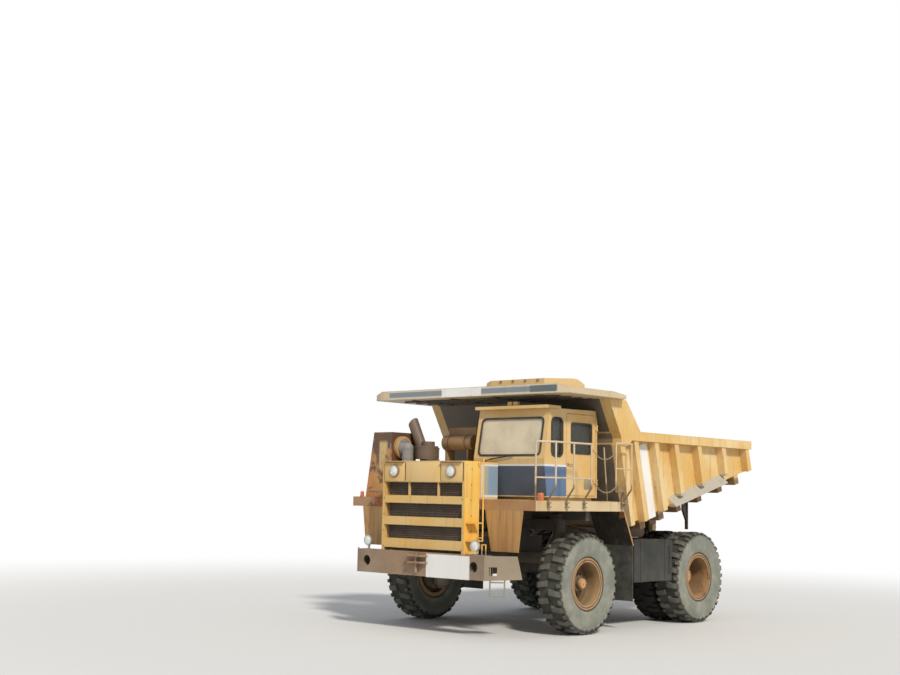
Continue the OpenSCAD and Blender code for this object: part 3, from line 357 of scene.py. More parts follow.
def worn(name, paint, faded, zones=None, rust=wear["rustColour"], rusty=0.2, chips=0.3, dusty=0.4,
         streaks=0.4, edge=0.6, relief=0.5, shine=0.35, deep=False):
    # a worn paint; zones is a function that lays other colours over the paint first
    material, tree, shader = newMaterial(name)
    inputs = {"Paint": (*paint, 1), "Faded": (*faded, 1), "Rust": (*rust, 1),
              "Dust": (*wear["dustColour"], 1), "Rust Amount": rusty, "Chips": chips,
              "Dust Amount": dusty, "Streaks": streaks, "Edge Wear": edge}
    if zones:
        inputs["Paint"], inputs["Faded"] = zones(tree, (paint, faded))
    aged = put(tree, "Group", node_tree=weather)
    for label, value in inputs.items():
        if isinstance(value, bpy.types.NodeSocket):
            tree.links.new(value, aged.inputs[label])
        else:
            aged.inputs[label].default_value = value
    colour = aged.outputs["Color"]
    if deep:
        colour = greasedAndShaded(tree, colour)
    tree.links.new(colour, shader.inputs["Base Color"])
    tree.links.new(aged.outputs["Roughness"], shader.inputs["Roughness"])
    bump(tree, shader, aged.outputs["Height"], relief, 0.004)
    shader.inputs["Specular IOR Level"].default_value = shine
    return material


paints = {
    "yellow": (0.68, 0.42, 0.125), "yellowFaded": (0.74, 0.51, 0.22), "bright": (0.84, 0.43, 0.04),
    "brightFaded": (0.84, 0.53, 0.13), "tan": (0.63, 0.41, 0.15), "tanFaded": (0.7, 0.5, 0.24),
    "shadedBlue": (0.065, 0.085, 0.12), "blue": (0.1, 0.17, 0.31), "paleBlue": (0.22, 0.33, 0.45),
    "white": (0.74, 0.72, 0.68), "bandGrey": (0.2, 0.24, 0.28),
}

# cab: a dark band with a white line above it, blue on the side; the navy on its front is painted shade of
# that blue
cabBand = {"low": 2.54, "high": 3.09, "trim": 3.125, "sideX": 1.927, "doorY": -0.385, "noseY": -0.91}


def cabZones(tree, bases):
    x, y, z = axes(tree)
    side = past(tree, x, cabBand["sideX"])
    corner = both(tree, side, before(tree, y, axleY + cabBand["doorY"]))
    where = calc(tree, "MAXIMUM", corner, before(tree, y, axleY + cabBand["noseY"], 0.01))
    stripe = both(tree, band(tree, z, cabBand["low"], cabBand["high"]), where)
    trim = both(tree, band(tree, z, cabBand["high"], cabBand["trim"]), where)
    # the front of the band gets the navy, painted shade, and the side gets the blue
    tone = blendColour(tree, side, paints["shadedBlue"], paints["blue"])
    return layered(tree, bases, [(stripe, tone), (trim, paints["white"])])


# canopy: a pale front edge with a grey band
canopyBand = {"frontY": -1.127, "across": (-2.02, 2.27), "topZ": 4.604, "band": (4.462, 4.562),
              "pale": (0.62, 0.54, 0.39), "top": (0.7, 0.48, 0.21)}


def canopyZones(tree, bases):
    x, y, z = axes(tree)
    face = both(tree, before(tree, y, axleY + canopyBand["frontY"]), band(tree, x, *canopyBand["across"]))
    top = past(tree, z, canopyBand["topZ"])
    grey = both(tree, face, band(tree, z, *canopyBand["band"]))
    layers = [(face, canopyBand["pale"]), (top, canopyBand["top"]), (grey, paints["bandGrey"])]
    return layered(tree, bases, layers)


# hood: a pale blue panel in a white border on its left side, greyed at its front end as painted shade
hoodPanel = {"sideX": 0.8375, "border": (2.5, 3.11, -1.55), "inner": (2.54, 3.075, -1.51), "backY": -1.0,
             "shadedFrontY": -1.35, "grey": (0.4, 0.4, 0.36)}


def hoodZones(tree, bases):
    x, y, z = axes(tree)
    side = past(tree, x, hoodPanel["sideX"], 0.0015)
    masks = []
    for low, high, frontY in (hoodPanel["border"], hoodPanel["inner"]):
        along = band(tree, y, axleY + frontY, axleY + hoodPanel["backY"])
        masks.append(both(tree, side, band(tree, z, low, high), along))
    # grey over the panel's front end: painted shade
    grey = both(tree, masks[1], before(tree, y, axleY + hoodPanel["shadedFrontY"], 0.05))
    layers = [(masks[0], paints["white"]), (masks[1], paints["paleBlue"]), (grey, hoodPanel["grey"])]
    return layered(tree, bases, layers)


# radiator shell: a brighter yellow on the side facing the sun, painted sunlight, and duller bars low on the
# front
shellPaint = {"sideX": 1.033, "barTop": 2.75, "dull": ((0.66, 0.4, 0.11), (0.68, 0.46, 0.18))}


def shellZones(tree, bases):
    place = axes(tree)
    side = past(tree, place[0], shellPaint["sideX"], 0.003)
    bars = both(tree, before(tree, place[2], shellPaint["barTop"], 0.01), before(tree, side, 0.45, 0.05))
    # the side gets a brighter yellow: painted sunlight
    sunlitTones = (paints["bright"], paints["brightFaded"])
    coats = []
    for base, bright, dull in zip(bases, sunlitTones, shellPaint["dull"]):
        coats += layered(tree, [base], [(side, bright), (bars, dull)])
    return coats


# skirts: the rear slopes are black, painted shade, but for their edges, and the fronts streaked with orange
skirtRustAndShade = {"fromY": 0.91, "edgeX": 2.2975, "stretch": (7.0, 7.0, 0.5), "orange": (0.34, 0.14, 0.04),
            "black": (0.022, 0.019, 0.016)}


def skirtZones(tree, bases):
    place = axes(tree)
    out = calc(tree, "ABSOLUTE", place[0])
    # black on the rear slopes, inside their edges: painted shade
    black = both(tree, past(tree, place[1], axleY + skirtRustAndShade["fromY"], 0.01),
                 before(tree, out, skirtRustAndShade["edgeX"], 0.0015))
    runs = noise(tree, objectPlace(tree), 1.0, 6.0, 0.62, stretch=skirtRustAndShade["stretch"])
    runs = both(tree, ramp(tree, runs, 0.42, 0.62), 0.7)
    return layered(tree, bases, [(runs, skirtRustAndShade["orange"]), (black, skirtRustAndShade["black"])])


# left deck: a rusty front edge, and a dark underside that is painted shade
deckRustAndShade = {"frontY": -1.786, "underZ": 2.4385, "edgeX": 2.2975, "under": (0.05, 0.04, 0.03),
            "browns": ((0.3, 0.125, 0.04), (0.4, 0.21, 0.08))}


def deckZones(tree, bases):
    x, y, z = axes(tree)
    front = before(tree, y, axleY + deckRustAndShade["frontY"])
    # the underside, inside the deck's edge, is darkened: painted shade
    under = both(tree, before(tree, z, deckRustAndShade["underZ"], 0.0015),
                 before(tree, calc(tree, "ABSOLUTE", x), deckRustAndShade["edgeX"], 0.0025),
                 before(tree, front, 0.5, 0.4))
    coats = []
    for base, brown in zip(bases, deckRustAndShade["browns"]):
        coats += layered(tree, [base], [(under, deckRustAndShade["under"]), (both(tree, front, 0.85), brown)])
    return coats


# cabinet: dark rust above, orange below, a cream patch of old paint, an orange canister, and its inner side
# darkened as painted shade
cabinetRustAndShade = {"darkFrom": 3.0, "patchX": (-1.8, -1.58), "patchZ": (3.02, 3.55), "innerX": -1.461,
               "canisterX": -1.456, "dark": (0.11, 0.058, 0.035), "patch": (0.55, 0.4, 0.19),
               "inner": (0.09, 0.048, 0.03), "canister": (0.66, 0.3, 0.045)}


def cabinetZones(tree, bases):
    place = axes(tree)
    x, z = place[0], place[2]
    cloud = noise(tree, objectPlace(tree), 2.4, 9.0, 0.66, 0.4)
    rise = calc(tree, "MULTIPLY", calc(tree, "SUBTRACT", z, cabinetRustAndShade["darkFrom"]), 0.16)
    dark = ramp(tree, calc(tree, "ADD", cloud, rise), 0.46, 0.58)
    patch = both(tree, band(tree, x, *cabinetRustAndShade["patchX"], 0.03),
                 band(tree, z, *cabinetRustAndShade["patchZ"], 0.05), ramp(tree, cloud, 0.4, 0.5))
    # the side facing the middle of the truck is darkened: painted shade
    inner = both(tree, past(tree, x, cabinetRustAndShade["innerX"], 0.0005), 0.9)
    canister = past(tree, x, cabinetRustAndShade["canisterX"])
    return layered(tree, bases, [(dark, cabinetRustAndShade["dark"]), (patch, cabinetRustAndShade["patch"]),
                                 (inner, cabinetRustAndShade["inner"]), (canister, cabinetRustAndShade["canister"])])


# handrails, whose posts are brown below, and ladder, which kept its yellow only above the bumper
lowPaint = {"rail": (3.05, 2.9), "railColour": (0.13, 0.08, 0.05), "ladderZ": 1.57,
            "ladder": (0.24, 0.2, 0.15)}


def railZones(tree, bases):
    ragged = calc(tree, "MULTIPLY", noise(tree, objectPlace(tree), 5.0, 5.0), 0.4)
    low = ramp(tree, calc(tree, "ADD", axes(tree)[2], ragged), *lowPaint["rail"])
    return layered(tree, bases, [(both(tree, low, 0.85), lowPaint["railColour"])])


def ladderZones(tree, bases):
    low = before(tree, axes(tree)[2], lowPaint["ladderZ"], 0.03)
    return layered(tree, bases, [(low, lowPaint["ladder"])])


# bumper: browner towards the middle, another brown on the left wing
bumperPaint = {"wingX": 1.605, "right": (-1.4, -0.6), "left": (0.8, 0.2), "middle": (0.28, 0.15, 0.07),
               "wing": (0.23, 0.175, 0.12)}


def bumperZones(tree, bases):
    x = axes(tree)[0]
    middle = both(tree, ramp(tree, x, *bumperPaint["right"]), ramp(tree, x, *bumperPaint["left"]), 0.7)
    wing = past(tree, x, bumperPaint["wingX"], 0.015)
    return layered(tree, bases, [(middle, bumperPaint["middle"]), (wing, bumperPaint["wing"])])


# body: bare worn steel inside the load space, and on the ledge along the foot of each side; painted shade on
# the front wall and, in part, on the belly
body = {
    "slope": 14.2, "footY": 1.26, "footZ": 1.99, "rimZ": 3.65, "innerX": 2.1, "wallX": 2.08, "ribX": 2.128,
    "ledgeHigh": 0.195, "ledgeY": (2.84, 4.93), "inside": (0.2, 0.15, 0.1), "wall": (0.12, 0.1, 0.075),
    "belly": (0.13, 0.07, 0.035), "ledge": (0.42, 0.39, 0.33),
    "ribs": (2.14, 2.88, 3.77, 4.76, 5.77), "weldX": 2.1255, "weldShift": 0.078, "weldPart": 0.86,
    "rimWeld": (1.6, 5.9), "pivot": (0.6725, 4.5, 1.9),
}
slope = tan(radians(body["slope"]))


def bodyZones(tree, bases):
    x, y, z = axes(tree)
    out = calc(tree, "ABSOLUTE", x)
    back = calc(tree, "SUBTRACT", y, body["footY"] + axleY)
    floorLine = calc(tree, "ADD", calc(tree, "MULTIPLY", back, slope), body["footZ"])
    over = calc(tree, "SUBTRACT", z, floorLine)
    lean = calc(tree, "MULTIPLY", calc(tree, "SUBTRACT", z, body["footZ"]), slope)
    behind = calc(tree, "SUBTRACT", y, calc(tree, "SUBTRACT", body["footY"] + axleY, lean))
    inside = both(tree, ramp(tree, out, body["innerX"] + 0.002, body["innerX"] + 0.0005),
                  past(tree, over, 0.016, 0.004), past(tree, behind, 0.016, 0.004))
    # the front wall under the canopy is darkened: painted shade
    wall = both(tree, before(tree, behind, 0.008, 0.004), before(tree, out, body["wallX"], 0.01))
    # below the floor line, a dark rust brown that is partly painted shade under the ledge
    raggedBelly = calc(tree, "MULTIPLY", noise(tree, objectPlace(tree), 2.0, 8.0, 0.65), 0.24)
    belly = both(tree, ramp(tree, calc(tree, "ADD", over, raggedBelly), 0.1, 0.02), 0.85)
    ledge = both(tree, past(tree, out, body["ribX"], 0.001), before(tree, over, body["ledgeHigh"], 0.005),
                 band(tree, y, *(place + axleY for place in body["ledgeY"])))
    return layered(tree, bases, [(inside, body["inside"]), (wall, body["wall"]), (belly, body["belly"]),
                                 (ledge, body["ledge"])])


# rubber: dust, and on the wheels pale walls, then painted shade in the grooves, on the inner tyres and near
# the beads
rubberDirtAndShade = {
    "dust": (0.3, 0.29, 0.23), "wall": (0.87, 0.82), "wallTones": ((0.2, 0.207, 0.172), (0.32, 0.32, 0.265)),
    "top": (0.905, 0.925), "topColour": (0.2, 0.19, 0.155), "groove": ((0.9, 0.885), (0.855, 0.87)),
    "grooveShade": (0.03, 0.03, 0.027), "inner": (1.66, 1.62), "bead": (0.515, 0.5),
    "shade": (0.02, 0.02, 0.018),
}


def makeRubber(name, rubber, dusty, wheel=False):
    material, tree, shader = newMaterial(name)
    place = objectPlace(tree)
    blotch = ramp(tree, noise(tree, place, 3.0, 9.0, 0.68), 0.3, 0.72)
    grit = noise(tree, place, 42.0, 6.0, 0.7)
    amount = calc(tree, "ADD", calc(tree, "MULTIPLY", blotch, 0.65), calc(tree, "MULTIPLY", grit, 0.5))
    amount = calc(tree, "MULTIPLY", amount, dusty, True)
    colour = blendColour(tree, amount, rubber, rubberDirtAndShade["dust"])
    if wheel:
        away = wheelRadius(tree, place)
        out = calc(tree, "ABSOLUTE", axes(tree)[0])
        # grooves, inner tyres and beads are darkened: painted shade
        grooves = [ramp(tree, away, *places) for places in rubberDirtAndShade["groove"]]
        bead = both(tree, ramp(tree, away, *rubberDirtAndShade["bead"]), 0.8)
        shaded = calc(tree, "MAXIMUM", ramp(tree, out, *rubberDirtAndShade["inner"]), bead)
        wall = blendColour(tree, blotch, *rubberDirtAndShade["wallTones"])
        colour, = layered(tree, [colour], [
            (both(tree, ramp(tree, away, *rubberDirtAndShade["wall"]), 0.88), wall),
            (both(tree, ramp(tree, away, *rubberDirtAndShade["top"]), 0.25), rubberDirtAndShade["topColour"]),
            (both(tree, *grooves, 0.6), rubberDirtAndShade["grooveShade"]), (shaded, rubberDirtAndShade["shade"])])
    tree.links.new(colour, shader.inputs["Base Color"])
    rough = calc(tree, "ADD", 0.68, calc(tree, "MULTIPLY", amount, 0.25))
    tree.links.new(rough, shader.inputs["Roughness"])
    bump(tree, shader, grit, 0.6, 0.006)
    shader.inputs["Specular IOR Level"].default_value = 0.25
    return material


screenDust = {"screenY": -0.87, "sideTones": ((0.03, 0.033, 0.03), (0.1, 0.1, 0.085)), "sideCover": 0.45}


def makeGlass(name, tint, dusty, screenOnly=False):
    # dusty window glass: clear where wiped, cream where the dust lies; the screen is much the dustiest
    material, tree, shader = newMaterial(name)
    film = ramp(tree, noise(tree, objectPlace(tree), 1.6, 7.0, 0.6), 0.2, 0.75)
    cover = calc(tree, "ADD", dusty, calc(tree, "MULTIPLY", film, 0.3), True)
    colour = blendColour(tree, film, tint, tuple(c * 1.12 for c in tint))
    if screenOnly:
        screen = before(tree, axes(tree)[1], axleY + screenDust["screenY"], 0.01)
        colour = blendColour(tree, screen, blendColour(tree, film, *screenDust["sideTones"]), colour)
        sides = calc(tree, "ADD", screenDust["sideCover"], calc(tree, "MULTIPLY", film, 0.25))
        cover = calc(tree, "MAXIMUM", both(tree, cover, screen), sides)
    tree.links.new(colour, shader.inputs["Base Color"])
    tree.links.new(cover, shader.inputs["Alpha"])
    rough = calc(tree, "ADD", 0.12, calc(tree, "MULTIPLY", film, 0.4))
    tree.links.new(rough, shader.inputs["Roughness"])
    shader.inputs["Specular IOR Level"].default_value = 0.5
    return material


def wave(tree, place, scale, bend, way):
    inputs = {"Vector": place, "Scale": scale, "Distortion": bend}
    return put(tree, "TexWave", inputs, wave_type="BANDS", bands_direction=way).outputs["Fac"]


def makeCloth(name, colour):
    # woven seat cloth
    material, tree, shader = newMaterial(name)
    place = objectPlace(tree)
    thread = both(tree, *(wave(tree, place, 95.0, 0.4, way) for way in ("X", "Z")))
    stain = both(tree, ramp(tree, noise(tree, place, 5.0, 6.0), 0.4, 0.7), 0.5)
    shade = blendColour(tree, thread, colour, tuple(c * 2.2 for c in colour))
    tree.links.new(blendColour(tree, stain, shade, wear["dustColour"]), shader.inputs["Base Color"])
    shader.inputs["Roughness"].default_value = 0.9
    shader.inputs["Sheen Weight"].default_value = 0.3
    bump(tree, shader, thread, 0.4, 0.001)
    return material


def makeLens(name, colour, rough):
    # fluted lamp glass
    material, tree, shader = newMaterial(name)
    place = objectPlace(tree)
    film = ramp(tree, noise(tree, place, 14.0, 6.0, 0.6), 0.35, 0.75)
    dim = tuple(c * 0.72 for c in colour)
    tree.links.new(blendColour(tree, film, colour, dim), shader.inputs["Base Color"])
    rough = calc(tree, "ADD", rough, calc(tree, "MULTIPLY", film, 0.25))
    tree.links.new(rough, shader.inputs["Roughness"])
    bump(tree, shader, wave(tree, place, 26.0, 0.0, "X"), 0.5, 0.003)
    shader.inputs["Coat Weight"].default_value = 0.6
    return material


def makeMetal(name, colour, rough, dirt=0.4):
    material, tree, shader = newMaterial(name)
    place = objectPlace(tree)
    grime = calc(tree, "MULTIPLY", ramp(tree, noise(tree, place, 6.0, 8.0, 0.65), 0.4, 0.72), dirt)
    scratch = noise(tree, place, 9.0, 4.0, 0.6, stretch=(14.0, 14.0, 1.0))
    tree.links.new(blendColour(tree, grime, colour, (0.16, 0.11, 0.07)), shader.inputs["Base Color"])
    metal = calc(tree, "SUBTRACT", 0.9, calc(tree, "MULTIPLY", grime, 0.7))
    tree.links.new(metal, shader.inputs["Metallic"])
    uneven = calc(tree, "ADD", calc(tree, "MULTIPLY", grime, 0.5), calc(tree, "MULTIPLY", scratch, 0.1))
    tree.links.new(calc(tree, "ADD", rough, uneven), shader.inputs["Roughness"])
    bump(tree, shader, scratch, 0.25, 0.002)
    return material


yellow, yellowFaded = paints["yellow"], paints["yellowFaded"]
bright, brightFaded = paints["bright"], paints["brightFaded"]
finish = {
    "yellow": worn("yellowPaint", yellow, yellowFaded, rusty=0.18, streaks=0.35, dusty=0.35),
    "shell": worn("shellPaint", yellow, yellowFaded, shellZones, rusty=0.18, chips=0.35,
                  streaks=0.6, dusty=0.3),
    "ladder": worn("ladderPaint", bright, brightFaded, ladderZones, rusty=0.3, chips=0.6),
    "body": worn("bodyPaint", yellow, (0.76, 0.56, 0.28), bodyZones, rusty=0.26, chips=0.35, streaks=0.7),
    "cab": worn("cabPaint", paints["tan"], paints["tanFaded"], cabZones, rusty=0.12, chips=0.2, dusty=0.3),
    "door": worn("doorPaint", (0.69, 0.41, 0.125), paints["tanFaded"], rusty=0.14, chips=0.2, streaks=0.5,
                 dusty=0.3),
    "hood": worn("hoodPaint", yellow, paints["tanFaded"], hoodZones, rusty=0.25, dusty=0.6),
    "canopy": worn("canopyPaint", (0.56, 0.44, 0.27), (0.62, 0.5, 0.33), canopyZones, rusty=0.15, chips=0.25,
                   dusty=0.6),
    "deck": worn("deckPaint", (0.56, 0.4, 0.2), (0.62, 0.48, 0.28), deckZones, rust=(0.24, 0.11, 0.045),
                 rusty=0.3, chips=0.5, streaks=0.8),
    "rustyDeck": worn("rustyDeck", (0.36, 0.2, 0.1), (0.44, 0.27, 0.14), rusty=0.75, chips=0.6, streaks=0.8,
                      dusty=0.3),
    "rusty": worn("rustyPaint", (0.44, 0.25, 0.085), (0.47, 0.3, 0.12), skirtZones, rust=(0.24, 0.105, 0.04),
                  rusty=0.32, chips=0.5, streaks=1.0, dusty=0.2),
    "cabinet": worn("cabinetPaint", (0.48, 0.2, 0.055), (0.5, 0.28, 0.1), cabinetZones,
                    rust=(0.13, 0.06, 0.03), rusty=0.4, chips=0.6, streaks=1.0, dusty=0.2),
    "bumper": worn("bumperPaint", (0.2, 0.13, 0.085), (0.3, 0.21, 0.14), bumperZones, rusty=0.35, chips=0.5,
                   streaks=0.6, dusty=0.5),
    "frame": worn("framePaint", (0.032, 0.029, 0.025), (0.055, 0.048, 0.038), rusty=0.3, chips=0.4,
                  dusty=0.45),
    "cast": worn("castIron", (0.055, 0.047, 0.038), (0.08, 0.066, 0.05), rusty=0.45, chips=0.4, dusty=0.8,
                 relief=0.9),
    "exhaust": worn("burntSteel", (0.13, 0.09, 0.065), (0.19, 0.125, 0.085), rust=(0.12, 0.06, 0.038),
                    rusty=0.4, chips=0.5, dusty=0.25),
    "receiver": worn("receiverPaint", (0.3, 0.17, 0.075), (0.38, 0.24, 0.12), rusty=0.4, dusty=0.3),
    "duct": worn("ductGrey", (0.2, 0.2, 0.19), (0.27, 0.26, 0.24)),
    "tank": worn("tankPaint", (0.014, 0.018, 0.02), (0.022, 0.027, 0.028), rusty=0.12, chips=0.25, dusty=0.16,
                 shine=0.2, edge=0.2),
    "rim": worn("rimPaint", (0.36, 0.2, 0.085), (0.42, 0.26, 0.12), rusty=0.36, chips=0.4, dusty=0.16,
                deep=True),
    "hub": worn("hubPaint", (0.55, 0.25, 0.08), (0.6, 0.34, 0.14), rusty=0.35, chips=0.5, dusty=0.3),
    "rail": worn("railPaint", (0.55, 0.42, 0.26), (0.62, 0.5, 0.34), railZones, rusty=0.35, chips=0.6,
                 dusty=0.2, edge=0.2),
    "plate": worn("platePaint", (0.78, 0.76, 0.73), (0.84, 0.83, 0.8), rusty=0.05, chips=0.22, streaks=0.25,
                  dusty=0.2),
    "badge": worn("badgePaint", (0.09, 0.12, 0.13), (0.12, 0.15, 0.16), rusty=0.05, chips=0.2, dusty=0.3),
    "core": worn("corePaint", (0.025, 0.022, 0.02), (0.05, 0.04, 0.03), rusty=0.1, dusty=0.5),
    "inside": worn("insidePlastic", (0.045, 0.045, 0.048), (0.07, 0.07, 0.07), rusty=0.0, chips=0.0,
                   streaks=0.0, dusty=0.5, edge=0.1),
    "grimy": worn("grimyRail", (0.3, 0.25, 0.18), (0.36, 0.31, 0.22), rusty=0.45, chips=0.6, dusty=0.5),
    "tyre": makeRubber("tyreRubber", (0.035, 0.036, 0.032), 0.5, True),
    "flap": makeRubber("flapRubber", (0.02, 0.02, 0.02), 0.35),
    "seal": makeRubber("sealRubber", (0.018, 0.018, 0.018), 0.2),
    "cushion": makeCloth("seatCloth", (0.05, 0.05, 0.055)),
    "screen": makeGlass("dustyScreen", (0.62, 0.53, 0.38), 0.68, True),
    "glass": makeGlass("sideGlass", (0.05, 0.052, 0.045), 0.5),
    "lens": makeLens("lampLens", (0.82, 0.82, 0.76), 0.12),
    "amber": makeLens("amberLens", (0.55, 0.13, 0.025), 0.3),
    "chrome": makeMetal("lampRing", (0.62, 0.6, 0.56), 0.22),
    "steel": makeMetal("rodSteel", (0.6, 0.6, 0.6), 0.18, 0.25),
}

dressed = {
    "frame": "frame", "bumper": "bumper", "access_ladder": "ladder", "radiator_shell": "shell",
    "radiator_core": "core", "hood": "hood", "lamps": "chrome", "engine": "cast", "driveline": "cast",
    "left_deck": "deck", "right_deck": "rustyDeck", "deck_skirts": "rusty", "handrails": "rail",
    "cab_shell": "cab", "cab_glass": "screen", "cab_interior": "inside", "air_cleaner": "cabinet",
    "intake_duct": "duct", "exhaust_stack": "exhaust", "air_receiver": "receiver", "fuel_tank": "tank",
    "hydraulic_tank": "tank", "front_struts": "frame", "rear_axle": "cast", "rear_struts": "frame",
    "mud_flaps": "flap", "cab_door": "door", "door_glass": "glass", "knuckle_left": "cast",
    "knuckle_right": "cast", "rim_front_left": "rim", "rim_front_right": "rim", "rims_rear_left": "rim",
    "rims_rear_right": "rim", "tyre_front_left": "tyre", "tyre_front_right": "tyre",
    "tyres_rear_left": "tyre", "tyres_rear_right": "tyre", "dump_body": "body", "body_canopy": "canopy",
    "rock_ejectors": "rusty", "hoist_barrel_left": "frame", "hoist_barrel_right": "frame",
    "hoist_rod_left": "steel", "hoist_rod_right": "steel",
}
for nodeName, look in dressed.items():
    slots = nodes[nodeName].data.materials
    if not slots:
        slots.append(finish[look])
    for index in range(len(slots)):
        slots[index] = finish[look]
print("paint laid on", len(dressed), "frame parts")


# making and finishing a piece
def boxInto(mesh, low, high, edge=0.0, turn=None, rounds=2):
    low, high = Vector(low), Vector(high)
    place = Matrix.Translation((low + high) / 2) @ Matrix.Diagonal((*(high - low), 1.0))
    made = bmesh.ops.create_cube(mesh, size=1.0, matrix=(turn or Matrix()) @ place)["verts"]
    if edge:
        edges = list({e for v in made for e in v.link_edges})
        bmesh.ops.bevel(mesh, geom=edges, offset=edge, offset_type="OFFSET", segments=rounds, profile=0.5,
                        affect="EDGES", material=-1, clamp_overlap=True)


def sideBoxInto(mesh, side, across, along, up, edge):
    # a box on one side of the truck, given by its reach in each direction
    low, high = sorted((side * across[0], side * across[1]))
    boxInto(mesh, spot(low, along[0], up[0]), spot(high, along[1], up[1]), edge)


def rodInto(mesh, start, end, radius, sides=12):
    start, end = Vector(start), Vector(end)
    line = end - start
    place = Matrix.Translation((start + end) / 2) @ line.to_track_quat("Z", "Y").to_matrix().to_4x4()
    bmesh.ops.create_cone(mesh, cap_ends=True, cap_tris=False, segments=sides, radius1=radius,
                          radius2=radius, depth=line.length, matrix=place)


def tubeInto(mesh, points, radius, closed=False, sides=3):
    # a bent pipe along a line of points
    curve = bpy.data.curves.new("line", "CURVE")
    curve.dimensions = "3D"
    curve.bevel_depth = radius
    curve.bevel_resolution = sides
    curve.use_fill_caps = True
    line = curve.splines.new("POLY")
    line.points.add(len(points) - 1)
    for point, place in zip(line.points, points):
        point.co = (*place, 1.0)
    line.use_cyclic_u = closed
    holder = bpy.data.objects.new("line", curve)
    drawn = bpy.data.meshes.new_from_object(holder)
    mesh.from_mesh(drawn)
    bpy.data.objects.remove(holder)
    bpy.data.curves.remove(curve)
    bpy.data.meshes.remove(drawn)


def turned(mesh, profile, centre, axis, steps=32):
    # spins a profile of (along, radius) pairs about an axis through centre
    centre, axis = Vector(centre), Vector(axis).normalized()
    out = axis.orthogonal().normalized()
    made = [mesh.verts.new(centre + axis * along + out * radius) for along, radius in profile]
    edges = [mesh.edges.new(pair) for pair in zip(made, made[1:])]
    bmesh.ops.spin(mesh, geom=made + edges, cent=centre, axis=axis, angle=2 * pi, steps=steps, use_merge=True)


def knobInto(mesh, profile, centre, axis, steps=20):
    # a turned shape that is closed at both ends
    ends = (profile[0][0], pole), (profile[-1][0], pole)
    turned(mesh, [ends[0], *profile, ends[1]], centre, axis, steps)


def ringInto(mesh, inner, outer, wide, centre, axis, steps=36):
    # a flat band round a pipe or drum
    turned(mesh, [(0.0, inner), (0.0, outer), (wide, outer), (wide, inner)], centre, axis, steps)


def boltsInto(mesh, centre, axis, radius, count, size, high, sides=6):
    # a ring of bolt heads
    centre, axis = Vector(centre), Vector(axis).normalized()
    out = axis.orthogonal().normalized()
    for index in range(count):
        place = centre + Matrix.Rotation(2 * pi * index / count, 3, axis) @ out * radius
        rodInto(mesh, place, place + axis * high, size, sides)


def joinInto(mesh, other):
    # adds one bmesh to another
    data = bpy.data.meshes.new("joined")
    other.to_mesh(data)
    other.free()
    mesh.from_mesh(data)
    bpy.data.meshes.remove(data)


def piece(name, mesh, look, carrier, smooth=None):
    # ends a piece: closes it up, gives its finish and hangs it on its body
    bmesh.ops.remove_doubles(mesh, verts=mesh.verts, dist=0.00002)
    bmesh.ops.recalc_face_normals(mesh, faces=mesh.faces)
    data = bpy.data.meshes.new(name)
    mesh.to_mesh(data)
    mesh.free()
    made = bpy.data.objects.new(name, data)
    scene.collection.objects.link(made)
    data.materials.append(finish[look])
    if smooth:
        data.shade_smooth()
        data.set_sharp_from_angle(angle=radians(smooth))
    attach(made, carrier)
    return made


# tyres: a moulded carcass with a row of long lugs and short shoulder blocks on each side
tyreShape = {
    "radius": 0.93, "halfWidth": 0.28, "lugs": 18, "lugHeight": 0.046, "root": 0.006, "lean": 0.34,
    "steps": 72, "topWidth": 0.84, "topIn": (0.012, 0.02), "fallFrom": 0.62, "fall": 0.72,
    # start and end along the outline, half width and cuts of a lug
    "long": (0.012, 0.315, 0.062, 9), "short": (0.19, 0.312, 0.04, 5),
    # across from the middle, and radius
    "outline": [(0.0, 0.882), (0.11, 0.882), (0.2, 0.879), (0.235, 0.873), (0.256, 0.858), (0.267, 0.83),
                (0.273, 0.77), (0.277, 0.7), (0.275, 0.62), (0.262, 0.545), (0.242, 0.502), (0.2205, 0.4835),
                (0.2198, 0.4195)],
}


def outlineAt(run):
    # place, and direction away from the tyre, at a distance along the outline
    points = tyreShape["outline"]
    for (x1, r1), (x2, r2) in zip(points, points[1:]):
        part = sqrt((x2 - x1) ** 2 + (r2 - r1) ** 2)
        if run <= part:
            t = run / part
            return x1 + (x2 - x1) * t, r1 + (r2 - r1) * t, -(r2 - r1) / part, (x2 - x1) / part
        run -= part
    return x2, r2, 1.0, 0.0


def lugInto(mesh, side, around, start, end, half, cuts):
    # one lug: a block subdivided across, then laid on the outline from its start over the shoulder
    made = bmesh.ops.create_grid(mesh, x_segments=cuts, y_segments=3, size=0.5)["verts"]
    faces = list({f for v in made for f in v.link_faces})
    raised = bmesh.ops.extrude_face_region(mesh, geom=faces)["geom"]
    top = [g for g in raised if isinstance(g, bmesh.types.BMVert)]
    falls = tyreShape["fallFrom"]
    for vert in made + top:
        along, across = vert.co.x + 0.5, vert.co.y * 2.0
        run = start + (end - start) * along
        width = half * (1.0 - 0.22 * along if along < 0.75 else 0.85 + 0.1 * along)
        height = -tyreShape["root"]
        if vert in top:
            width *= tyreShape["topWidth"]
            run = min(max(run, start + tyreShape["topIn"][0]), end - tyreShape["topIn"][1])
            fall = max(0.0, along - falls) / (1.0 - falls)
            height = tyreShape["lugHeight"] * (1.0 - tyreShape["fall"] * fall)
        x, radius, outX, outR = outlineAt(run)
        x = min(x + outX * height, tyreShape["halfWidth"])
        radius = min(radius + outR * height, tyreShape["radius"])
        turn = around + (across * width + tyreShape["lean"] * (run - 0.2) * 0.5) / radius
        vert.co = (side * x, radius * sin(turn), -radius * cos(turn))


